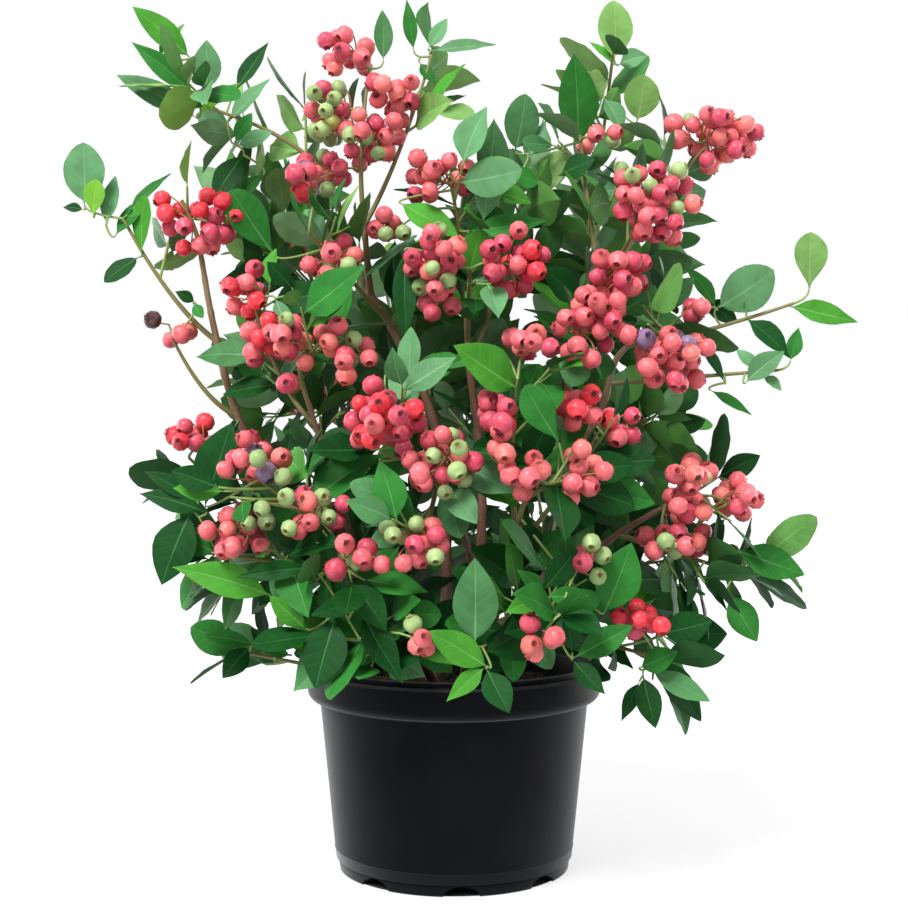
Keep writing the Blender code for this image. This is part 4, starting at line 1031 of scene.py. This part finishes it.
def scatter_tree(name, materials):
    """Sets a shape on each point of a mesh by the point's kind, turn and size."""
    graph, sockets = new_tree(name, {"Shapes": "Collection"})
    shapes = graph.node("GeometryNodeCollectionInfo", {}, {
        "Collection": sockets["Shapes"], "Separate Children": True, "Reset Children": True})
    placed = graph.node("GeometryNodeInstanceOnPoints", {}, {
        "Points": sockets["Geometry"], "Instance": shapes, "Pick Instance": True,
        "Instance Index": named(graph, "kind", "INT"), "Rotation": named(graph, "turn", "QUATERNION"),
        "Scale": named(graph, "size", "FLOAT_VECTOR")})
    painted(graph, graph.node("GeometryNodeRealizeInstances", {}, {"Geometry": placed}), materials)
    return graph.tree


def tube_tree(name, materials):
    """Draws a round tube along each line of a mesh, as thick as the points say, with a lumpy skin."""
    graph, sockets = new_tree(name, {"Sides": "Int", "Relief": "Float", "Relief Scale": "Float"})
    curves = graph.node("GeometryNodeMeshToCurve", {}, {"Mesh": sockets["Geometry"]})
    ring = {"Resolution": sockets["Sides"], "Radius": 1.0}
    section = graph.node("GeometryNodeCurvePrimitiveCircle", {}, ring)
    thickness = named(graph, "thickness", "FLOAT")
    skin = graph.node("GeometryNodeCurveToMesh", {}, {
        "Curve": curves, "Profile Curve": section, "Scale": thickness, "Fill Caps": True})
    lumps = graph.node("ShaderNodeTexNoise", {}, {"Scale": sockets["Relief Scale"], "Detail": 2.0})
    height = (lumps - 0.5) * sockets["Relief"] * thickness
    normal = graph.node("GeometryNodeInputNormal")
    offset = graph.node("ShaderNodeVectorMath", {"operation": "SCALE"}, {0: normal, "Scale": height})
    rough = graph.node("GeometryNodeSetPosition", {}, {"Geometry": skin, "Offset": offset})
    smooth = graph.node("GeometryNodeSetShadeSmooth", {}, {"Geometry": rough, "Shade Smooth": True})
    painted(graph, graph.node("GeometryNodeRealizeInstances", {}, {"Geometry": smooth}), materials)
    return graph.tree


def grown_mesh(obj, tree, inputs):
    """Replaces an object's mesh by what the tree makes of it."""
    modifier = obj.modifiers.new(tree.name, "NODES")
    modifier.node_group = tree
    for item in tree.interface.items_tree:
        if item.in_out == "INPUT" and item.name in inputs:
            modifier[item.identifier] = inputs[item.name]
    mesh = plain_mesh(obj, modifier)
    for name in ("tone", "part", "thickness", "kind", "size", "turn"):
        if name in mesh.attributes:
            mesh.attributes.remove(mesh.attributes[name])
    obj.data = mesh
    mesh.name = obj.name
    return obj


def scattered(name, tree, shapes, pieces, tones):
    """One joined mesh of the shapes, each piece at its own place and with a shade of its own."""
    mesh = bpy.data.meshes.new(name)
    mesh.from_pydata([tuple(piece.place) for piece in pieces], [], [])
    chance = random.Random(name)
    for label, kind, values in (
        ("turn", "QUATERNION", [tuple(piece.turn) for piece in pieces]),
        ("size", "FLOAT_VECTOR", [piece.size for piece in pieces]),
        ("shade", "FLOAT", [chance.random() for _ in pieces]),
        ("kind", "INT", [piece.shape for piece in pieces]),
        ("tone", "INT", [tones.index(piece.tone) for piece in pieces]),
    ):
        attribute = mesh.attributes.new(label, kind, "POINT")
        attribute.data.foreach_set("vector" if kind == "FLOAT_VECTOR" else "value", np.array(values).ravel())
    return grown_mesh(new_object(name, mesh), tree, {"Shapes": shapes})


def drawn(name, tree, lines, tones, sides, relief, relief_scale):
    """One joined mesh of tubes along lines, given as (points, radii, tone)."""
    points, edges, radii, numbers = [], [], [], []
    for line, thickness, tone in lines:
        first = len(points)
        points.extend(tuple(point) for point in line)
        radii.extend(thickness)
        numbers.extend([tones.index(tone)] * len(line))
        edges.extend((first + number, first + number + 1) for number in range(len(line) - 1))
    mesh = bpy.data.meshes.new(name)
    mesh.from_pydata(points, edges, [])
    mesh.attributes.new("thickness", "FLOAT", "POINT").data.foreach_set("value", radii)
    mesh.attributes.new("tone", "INT", "POINT").data.foreach_set("value", numbers)
    inputs = {"Sides": sides, "Relief": relief, "Relief Scale": relief_scale}
    return grown_mesh(new_object(name, mesh), tree, inputs)


def smooth_line(knots, steps):
    """Points along a smooth curve through the knots, with so many steps from each knot to the next."""
    padded = [2 * knots[0] - knots[1], *knots, 2 * knots[-1] - knots[-2]]
    line = []
    for before, start, end, after in zip(padded, padded[1:], padded[2:], padded[3:]):
        for step in range(steps):
            share = step / steps
            line.append(
                start
                + (end - before) * share / 2
                + (2 * before - 5 * start + 4 * end - after) * share**2 / 2
                + (3 * start - before - 3 * end + after) * share**3 / 2
            )
    return [*line, knots[-1]]


def bent_line(start, bend, end, steps):
    """Points along a curve that leaves its start towards the bend."""
    shares = [step / steps for step in range(steps + 1)]
    return [start * (1 - share) ** 2 + bend * 2 * share * (1 - share) + end * share**2 for share in shares]


def tapered(line, first, last):
    """Radii that fall evenly from the first to the last point of a line."""
    return [first + (last - first) * number / (len(line) - 1) for number in range(len(line))]


def line_length(line):
    return sum((end - start).length for start, end in zip(line, line[1:]))


def swollen(line, radii, spacing, swell, length):
    """Radii with a joint at every spacing, as the wood has at its old buds."""
    place, result = 0.0, []
    for number, radius in enumerate(radii):
        if number:
            place += (line[number] - line[number - 1]).length
        off = (place + spacing / 2) % spacing - spacing / 2
        result.append(radius * (1 + swell * math.exp(-((off / length) ** 2))))
    return result


def along(line, share):
    """The point at a share of a line's steps, and the line's direction there."""
    place = share * (len(line) - 1)
    number = min(int(place), len(line) - 2)
    return line[number].lerp(line[number + 1], place - number), (line[number + 1] - line[number]).normalized()


def nearest(lines, point):
    """The point nearest to a place on any of several lines."""
    best = None
    for line in lines:
        for start, end in zip(line, line[1:]):
            run = end - start
            share = min(1, max(0, (point - start).dot(run) / run.length_squared))
            spot = start + run * share
            if best is None or (spot - point).length < (best - point).length:
                best = spot
    return best


def make_limbs():
    """Draws the canes and boughs, and gives the line and radii of each by name."""
    limbs = {}
    for name, limb in LIMBS.items():
        knots = [Vector(knot) * MM for knot in limb.knots if len(knot) == 3]
        if limb.parent:
            parent = limbs[limb.parent].line
            fork = next(point for point in parent if point.z > limb.fork * MM)
            line = smooth_line([fork, *knots], LIMB_STEPS)
        else:
            foot = Vector((*limb.knots[0], 0)) * MM + UP * (SOIL_TOP - FOOT_SUNK)
            line = smooth_line([foot, foot + UP * (STRAIGHT_FOOT + FOOT_SUNK), *knots], LIMB_STEPS)
        radii = tapered(line, limb.foot_radius * MM, limb.tip_radius * MM)
        if not limb.parent:
            for number in range(LIMB_STEPS):
                radii[number] *= FOOT_FLARE - (FOOT_FLARE - 1) * number / LIMB_STEPS
        limbs[name] = Grown(line, swollen(line, radii, JOINT_SPACING, JOINT_SWELL, JOINT_LENGTH))
    tree = tube_tree("limbs", [[bark_finish()]])
    for title, start in (("canes", "cane_"), ("boughs", "bough_")):
        names = [name for name in limbs if name.startswith(start)]
        lines = [(limbs[name].line, limbs[name].radii, "bark") for name in names]
        joined = drawn(title, tree, lines, ["bark"], LIMB_SIDES, LIMB_RELIEF, LIMB_RELIEF_SCALE)
        dressed(joined, "bark", *names)
    return limbs


class Room:
    """The places that are taken, as balls, so that nothing grows through anything else."""

    def __init__(self):
        self.middles = np.zeros((MOST_BALLS, 3))
        self.radii = np.zeros(MOST_BALLS)
        self.count = 0

    def free(self, middles, radius):
        """Whether balls of this radius touch none that is taken."""
        taken = self.middles[: self.count]
        gaps = np.linalg.norm(taken[None] - np.array(middles)[:, None], axis=2)
        return bool((gaps > self.radii[None, : self.count] + radius).all())

    def take(self, middles, radius):
        end = self.count + len(middles)
        self.middles[self.count : end] = middles
        self.radii[self.count : end] = radius
        self.count = end


class Growth:
    """One spray as it grows: its wood as lines, its leaves and its fruit."""

    def __init__(self, name, spray, limbs):
        self.name = name
        self.spray = spray
        self.random = random.Random(name)
        self.tip = Vector(spray.tip) * MM
        self.reach = spray.reach * MM
        self.start, self.heading = self.stem_start(limbs)
        self.wood = []
        self.leafy = []
        self.stalks = []
        self.leaves = []
        self.berries = []

    def stem_start(self, limbs):
        """Where the stem begins in its limb, and its heading."""
        middle, axis = along(limbs[self.spray.limb].line, self.spray.along)
        if self.spray.along == 1.0:
            return middle - axis * STEM_SUNK, axis
        towards = self.tip - middle
        if towards.angle(axis) < LEAST_BRANCH_ANGLE:
            towards = Quaternion(axis.cross(towards), LEAST_BRANCH_ANGLE) @ axis
        return middle, towards.normalized()

    def add_wood(self, line, radius, tip_radius, tone):
        self.wood.append((line, tapered(line, radius, tip_radius), tone))

    def nearest_wood(self, point):
        return nearest([line for line, _, _ in self.wood], point)

    def within(self, point):
        """Whether a point is inside the spray's own space."""
        return (nearest([[self.start, self.tip]], point) - point).length <= self.reach

    def side(self):
        """Which part of the crown the spray is in."""
        if self.tip.y > BACK_BEGINS:
            return "back"
        if abs(self.tip.x) < MIDDLE_ENDS:
            return "middle"
        return "left" if self.tip.x < 0 else "right"


def make_crown(limbs):
    room = Room()
    for limb in limbs.values():
        for point, radius in zip(limb.line, limb.radii):
            room.take([point], radius)
    growths = [Growth(name, spray, limbs) for name, spray in {**SPRAYS, **INNER_SPRAYS}.items()]
    for step in (set_stem, set_fruit, set_blades, set_twigs, set_views, set_leaves):
        for growth in growths:
            step(growth, room)
    join_crown(growths)


def set_stem(growth, room):
    run = growth.tip - growth.start
    out = growth.start + growth.heading * STRAIGHT_START
    line = bent_line(out, out + growth.heading * run.length * STEM_BEND, growth.tip, STEM_STEPS)
    line = [growth.start, *line]
    growth.add_wood(line, STEM_RADIUS, STEM_TIP_RADIUS, "olive")
    growth.leafy.append(line)


def set_blades(growth, room):
    """The leaves of the outline, each on a twig of its own where it is off the wood."""
    for root, tip, width, shape, tone in BLADES.get(growth.name, []):
        root, tip = Vector(root) * MM, Vector(tip) * MM
        foot = growth.nearest_wood(root)
        direction = (tip - root).normalized()
        if (root - foot).length > TWIG_RADIUS:
            back = min((root - foot).length, BLADE_BACK)
            line = bent_line(foot, root - direction * back * 0.5, root, TWIG_STEPS)
            growth.add_wood(line, SHOOT_RADIUS, SHOOT_TIP_RADIUS, "green")
        facing = UP * BLADE_TURNED_UP + Vector((root.x * 0.2, root.y - BLADE_FRONT, 0)).normalized()
        roll = growth.random.uniform(-BLADE_ROLL, BLADE_ROLL)
        place = LeafPlace(root, direction, facing, roll, (tip - root).length, width * MM)
        add_leaf(growth, room, place, shape, tone)


def packed_places(chance, count, half, radius):
    """Places for berries that crowd in an egg-shaped space about the origin, and push each other out."""
    inner = np.maximum(np.array(half) - radius * PACK_INSET, PACK_LEAST_HALF)
    places = []
    while len(places) < count:
        place = np.array([chance.uniform(-1, 1) for _ in range(3)])
        if np.linalg.norm(place) < 1:
            places.append(place * inner)
    places = np.array(places)
    for _ in range(PACK_ROUNDS):
        apart = places[:, None] - places[None]
        gaps = np.linalg.norm(apart, axis=2) + np.eye(count)
        push = np.clip(2 * radius * PACK_CLOSENESS - gaps, 0, None) * (1 - np.eye(count))
        places += (apart / gaps[..., None] * push[..., None]).sum(1) * PACK_PUSH
    return [Vector(place) for place in places]


def truss_depth(truss):
    """Half the depth that a truss's berries need in its width and height, in metres."""
    berries = truss.fruit * BERRY_RADIUS**3
    return max(TRUSS_LEAST_DEPTH, berries / (TRUSS_FILL * truss.half_width * MM * truss.half_height * MM))


def set_fruit(growth, room):
    """Hangs each truss: a stalk from the wood into its middle, and a berry at the end of each pedicel."""
    chance = growth.random
    for truss in TRUSSES.get(growth.name, []):
        middle = Vector(truss.middle) * MM
        half = (truss.half_width * MM, truss_depth(truss), truss.half_height * MM)
        foot = growth.nearest_wood(middle)
        outward = Vector((middle.x, middle.y, 0)).normalized()
        core = middle - outward * min(half[1] * 0.5, CORE_MOST_BACK) - UP * CORE_DROP
        stalk = bent_line(foot, (foot + core) / 2 + UP * (core - foot).length * 0.25, core, STALK_STEPS)
        growth.stalks.append((stalk, tapered(stalk, STALK_RADIUS, STALK_RADIUS * 0.8), "green"))
        tones = RIPENESS[truss.ripeness]
        for offset in packed_places(chance, truss.fruit, half, BERRY_RADIUS):
            spot = middle + offset
            size = BERRY_RADIUS * chance.uniform(*BERRY_SIZES)
            tone = chance.choices(list(tones), list(tones.values()))[0]
            if tone in ("green", "yellow_green"):
                size *= UNRIPE_SIZE
            if not room.free([spot], size * 0.6):
                continue
            stray = Vector((chance.uniform(-1, 1), chance.uniform(-1, 1), chance.uniform(-1, 1)))
            away = ((spot - core).normalized() * 0.6 + outward * 0.2 - UP * 0.35 + stray * 0.9).normalized()
            turn = Quaternion(away, chance.uniform(0, math.tau)) @ away.to_track_quat("Z", "Y")
            growth.berries.append(Piece(spot, turn, (size,) * 3, chance.randrange(len(BERRY_SHAPES)), tone))
            room.take([spot], size)
            top = spot - away * size * 0.9
            root = nearest([stalk], top)
            pedicel = bent_line(root, root.lerp(top, 0.5) - away * 0.003 + UP * 0.001, top, PEDICEL_STEPS)
            growth.stalks.append((pedicel, [PEDICEL_RADIUS] * len(pedicel), "reddish"))


def branch_direction(axis, angle, turn):
    """A direction that leans from an axis by an angle, turned round it from its lower side."""
    sideways = axis.orthogonal().normalized() if abs(axis.z) > 0.95 else axis.cross(UP).normalized()
    leaning = Quaternion(sideways, angle) @ axis
    return Quaternion(axis, turn) @ leaning


def set_twigs(growth, room):
    """Twigs from the stem by turns, and a finer shoot from the middle of each."""
    stem = growth.wood[0][0]
    count = round(growth.spray.twigs * TWIGS_FOR_ONE * growth.spray.fullness)
    for number in range(count):
        start, axis = along(stem, FIRST_TWIG + TWIG_SPAN * (number + 0.5) / count)
        length = growth.reach * TWIG_SHARE * growth.random.uniform(*TWIG_LENGTHS)
        turn = number * GOLDEN_ANGLE
        twig = set_one_twig(growth, room, start, axis, length, turn, TWIG_RADIUS, TWIG_TIP_RADIUS)
        if twig:
            start, axis = along(twig, 0.5)
            length, turn = length * SHOOT_SHARE, (number * 1.7 + 1) * GOLDEN_ANGLE
            set_one_twig(growth, room, start, axis, length, turn, SHOOT_RADIUS, SHOOT_TIP_RADIUS)


def set_one_twig(growth, room, start, axis, length, turn, radius, tip_radius):
    for attempt in range(LEAF_TRIES):
        direction = branch_direction(axis, TWIG_ANGLE, turn + attempt * GOLDEN_ANGLE)
        direction = (direction + UP * TWIG_LIFT).normalized()
        end = start + direction * length + UP * length * TWIG_LIFT
        line = bent_line(start, start + direction * length * 0.5, end, TWIG_STEPS)
        if growth.within(end) and not in_pot(end) and room.free(line[2:], radius + BERRY_ROOM):
            growth.add_wood(line, radius, tip_radius, "green")
            growth.leafy.append(line)
            room.take(line[2:], radius)
            return line
    return None


def in_pot(point):
    """Whether a point is in the pot, or in its wall."""
    return point.z < POT_HEIGHT + RIM_ROOM and math.hypot(point.x, point.y) < RIM_RADIUS + RIM_ROOM


def hangs_low(tip):
    """Whether a leaf's tip would hide the pot."""
    return tip.z < POT_HEIGHT and math.hypot(tip.x, tip.y) < RIM_RADIUS + POT_VIEW_ROOM


def set_leaves(growth, room):
    """Leaves by turns along all the wood, nearer its ends first, and two that go on from each end."""
    for number, line in enumerate(growth.leafy):
        on_stem = number == 0
        first = FIRST_STEM_LEAF if on_stem else FIRST_TWIG_LEAF
        share_set = growth.spray.fullness if on_stem else 1
        count = int(line_length(line) * (1 - first) / LEAF_SPACING)
        end, axis = along(line, 1.0)
        for place in range(2):
            if growth.random.random() < share_set:
                angle, turn = LEAF_END_ANGLE * (1 + place), place * math.pi
                set_one_leaf(growth, room, end, axis, angle, turn, END_LEAF_SIZE)
        for place in range(count, -1, -1):
            share = first + (1 - first) * (place + 0.5) / (count + 1)
            root, axis = along(line, share)
            if growth.random.random() < share_set:
                size = TIP_LEAF_SIZE + ROOT_LEAF_GAIN * (1 - share)
                set_one_leaf(growth, room, root, axis, LEAF_ANGLE, place * GOLDEN_ANGLE, size)


def set_views(growth, room):
    """Keeps leaves from in front of the fruit, which hangs on the outside of the bush."""
    for truss in TRUSSES.get(growth.name, []):
        middle = Vector(truss.middle) * MM
        behind = middle.y - VIEW_TURNS if middle.y < VIEW_TURNS else middle.y
        outward = Vector((middle.x * 0.5, behind, 0)).normalized()
        half = (truss.half_width + truss.half_height) / 2 * MM
        for step in range(1, VIEW_STEPS + 1):
            room.take([middle + outward * VIEW_LENGTH * step / VIEW_STEPS], half * VIEW_WIDTH)


class LeafPlace:
    """Where a leaf grows: its root, its direction, the direction to its side, its length and its width."""

    def __init__(self, root, direction, facing, roll, length, width):
        self.root = root
        self.direction = direction
        self.sideways = Quaternion(direction, roll) @ direction.cross(facing).normalized()
        self.length = length
        self.width = width

    def balls(self):
        """Points over the leaf's blade, which have to be clear of what is there."""
        rows = [(share, 0) for share in SPINE_SHARES]
        rows += [(share, side) for share in EDGE_SHARES for side in (-0.3, 0.3)]
        along_leaf, across_leaf = self.direction * self.length, self.sideways * self.width
        return [self.root + along_leaf * share + across_leaf * side for share, side in rows]


def set_one_leaf(growth, room, root, axis, angle, turn, scale):
    chance = growth.random
    for attempt in range(LEAF_TRIES):
        length = LEAF_LENGTH * scale * chance.uniform(*LEAF_LENGTHS)
        width = length * LEAF_WIDTH_SHARE * chance.uniform(*LEAF_WIDTHS)
        roll = chance.uniform(-LEAF_ROLL, LEAF_ROLL)
        direction = branch_direction(axis, angle, turn + attempt * LEAF_NEXT_TURN)
        facing = UP * LEAF_TURNED_UP + Vector((root.x, root.y, 0)).normalized()
        place = LeafPlace(root, direction, facing, roll, length, width)
        tip = root + direction * length
        balls = place.balls()
        if not growth.within(tip) or any(in_pot(ball) for ball in balls) or hangs_low(tip):
            continue
        if room.free(balls, LEAF_ROOM):
            tones = LEAFAGES[growth.spray.leafage]
            tone = chance.choices(list(tones), list(tones.values()))[0]
            add_leaf(growth, room, place, chance.randrange(len(LEAF_SHAPES)), tone)
            return


def add_leaf(growth, room, place, shape, tone):
    upper = place.sideways.cross(place.direction)
    turn = Matrix((place.sideways, place.direction, upper)).transposed().to_quaternion()
    growth.leaves.append(Piece(place.root, turn, (place.width, place.length, place.length), shape, tone))
    room.take(place.balls(), LEAF_ROOM)


def outline_rows(widest, foot, tip):
    """Pairs of a share of a leaf's length and its width there, from its stalk to near its tip."""
    rows = [(0.03, 0.045), (STALK_END, 0.07)]
    for share in LEAF_STATIONS:
        below = share < widest
        off = 1 - share / widest if below else (share - widest) / (1 - widest)
        width = math.cos(off * math.pi / 2) ** (foot if below else tip)
        rows.append((STALK_END + share * (1 - STALK_END), width))
    return rows


def make_shapes(title, looks, shape):
    """A collection, which isn't in the scene, of the shapes that are scattered."""
    shapes = bpy.data.collections.new(f"{title}_shapes")
    for number, look in enumerate(looks):
        shapes.objects.link(bpy.data.objects.new(f"{title}_{number}", shape(*look)))
    return shapes


def shape_mesh(title, points, faces, parts):
    """The mesh of a shape, whose faces are marked with their parts."""
    mesh = bpy.data.meshes.new(title)
    mesh.from_pydata(points, [], faces)
    mesh.attributes.new("part", "INT", "FACE").data.foreach_set("value", parts)
    mesh.shade_smooth()
    return mesh


def leaf_shape(outline, fold, curl, bend, wave):
    """A thin closed blade on its stalk. Its faces are marked as blade, rib or underside."""
    points, faces, parts, veins = [], [], [], []

    def point(share, side, lift):
        x = side + bend * math.sin(math.pi * share)
        points.append((x, share, fold * abs(side) - curl * share**2 + lift))
        veins.append(VEINS * (share - VEIN_SLOPE * abs(side)))
        return len(points) - 1

    rows = []
    for number, (share, width) in enumerate(outline_rows(*outline)):
        half = width / 2
        rib = min(half * 0.55, RIB_HALF_WIDTH * (1.15 - share))
        quilt = QUILT[number % 2]
        edge = wave * math.sin(number * WAVE_STEP)
        upper = [
            point(share, -half, edge), point(share, -(half + rib) / 2, quilt), point(share, -rib, RIB_LIFT),
            point(share, rib, RIB_LIFT), point(share, (half + rib) / 2, quilt), point(share, half, -edge)]
        lower = [upper[0], point(share, -rib, -RIB_DEPTH), point(share, rib, -RIB_DEPTH), upper[5]]
        rows.append((upper, lower))
    root = point(-0.02, 0, -0.004)
    tip = point(1.0, 0, 0)
    (first_upper, first_lower), (last_upper, last_lower) = rows[0], rows[-1]
    for (upper, lower), (next_upper, next_lower) in zip(rows, rows[1:]):
        on_stalk = upper is first_upper
        for number in range(5):
            faces.append((upper[number], upper[number + 1], next_upper[number + 1], next_upper[number]))
            parts.append(RIB if number == 2 or on_stalk else BLADE)
        for number in range(3):
            faces.append((lower[number + 1], lower[number], next_lower[number], next_lower[number + 1]))
            parts.append(RIB if number == 1 or on_stalk else UNDERSIDE)
    for number in range(5):
        faces.append((root, first_upper[number + 1], first_upper[number]))
        faces.append((last_upper[number], last_upper[number + 1], tip))
        parts += [RIB, RIB if number == 2 else BLADE]
    for number in range(3):
        faces.append((root, first_lower[number], first_lower[number + 1]))
        faces.append((last_lower[number + 1], last_lower[number], tip))
        parts += [RIB, RIB if number == 1 else UNDERSIDE]
    mesh = shape_mesh("leaf", points, faces, parts)
    mesh.attributes.new("veins", "FLOAT", "POINT").data.foreach_set("value", veins)
    edge_of = {tuple(sorted(edge.vertices)): edge for edge in mesh.edges}
    uppers = [upper for upper, _ in rows] + [[tip] * 6]
    for upper, next_upper in zip(uppers, uppers[1:]):
        for side in (0, 5):
            edge_of[tuple(sorted((upper[side], next_upper[side])))].use_edge_sharp = True
    return mesh


def berry_shape(squat, lobe, eye):
    """A berry of unit radius, with its stalk below and a crown of five lobes round its eye on top."""
    steps = BERRY_STEPS
    points = [(0, 0, -0.93 * squat)]
    for radius, height in BERRY_RINGS:
        points += [(*turned_point(radius, step, steps), height * squat) for step in range(steps)]
    for step in range(steps):
        out, up = (0.34, 0.95) if step % 2 else (0.46 * lobe, 1.06)
        points.append((*turned_point(out, step, steps), up * squat))
    points += [(*turned_point(eye, step, steps), 0.84 * squat) for step in range(steps)]
    points.append((0, 0, 0.72 * squat))
    faces, parts = [], []
    last = len(points) - 1 - steps
    for step in range(steps):
        after = (step + 1) % steps
        faces.append((0, 1 + after, 1 + step))
        parts.append(SKIN)
        for ring, part in enumerate((SKIN, SKIN, SKIN, SKIN, CROWN, CROWN)):
            low, high = 1 + ring * steps, 1 + (ring + 1) * steps
            faces.append((low + step, low + after, high + after, high + step))
            parts.append(part)
        faces.append((last + step, last + after, len(points) - 1))
        parts.append(EYE)
    return shape_mesh("berry", points, faces, parts)


def turned_point(radius, step, steps):
    turn = step * math.tau / steps
    return radius * math.cos(turn), radius * math.sin(turn)


def join_crown(growths):
    """Joins the crown's leaves, fruit, stalks and twigs, each kind apart, in each part of the crown."""
    leaf_tree = scatter_tree("leaves", [
        [leaf_finish(f"leaf_{name}_blade", blade, rib, 0.48),
         plain_finish(f"leaf_{name}_rib", rib, 0.45, 0.2, 0.15, 70),
         leaf_finish(f"leaf_{name}_underside", underside, rib, 0.55)]
        for name, (blade, rib, underside) in LEAF_TONES.items()])
    berry_tree = scatter_tree("berries", [
        [berry_finish(f"berry_{name}_skin", skin, 0.36),
         plain_finish(f"berry_{name}_crown", crown, 0.6, 0.3, 0.25, 110),
         plain_finish(f"berry_{name}_eye", eye, 0.7, 0.3, 0.25, 110)]
        for name, (skin, crown, eye) in BERRY_TONES.items()])
    wood_tree = tube_tree("twigs", [
        [plain_finish(f"twig_{name}", tone, 0.55)] for name, tone in WOOD_TONES.items()])
    leaf_shapes = make_shapes("leaf", LEAF_SHAPES, leaf_shape)
    berry_shapes = make_shapes("berry", BERRY_SHAPES, berry_shape)
    for side in SIDES:
        here = [growth for growth in growths if growth.side() == side]
        leaves = sum((growth.leaves for growth in here), [])
        berries = sum((growth.berries for growth in here), [])
        twigs = sum((growth.wood for growth in here), [])
        stalks = sum((growth.stalks for growth in here), [])
        solids = [growth.name for growth in here if growth.name in SPRAYS]
        leaves = scattered(f"leaves_{side}", leaf_tree, leaf_shapes, leaves, list(LEAF_TONES))
        dressed(leaves, "foliage", *solids)
        berries = scattered(f"berries_{side}", berry_tree, berry_shapes, berries, list(BERRY_TONES))
        dressed(berries, "foliage")
        for title, lines, sides in (("twigs", twigs, TWIG_SIDES), ("stalks", stalks, STALK_SIDES)):
            name, tones = f"{title}_{side}", list(WOOD_TONES)
            dressed(drawn(name, wood_tree, lines, tones, sides, TWIG_RELIEF, TWIG_RELIEF_SCALE), "bark")


main()
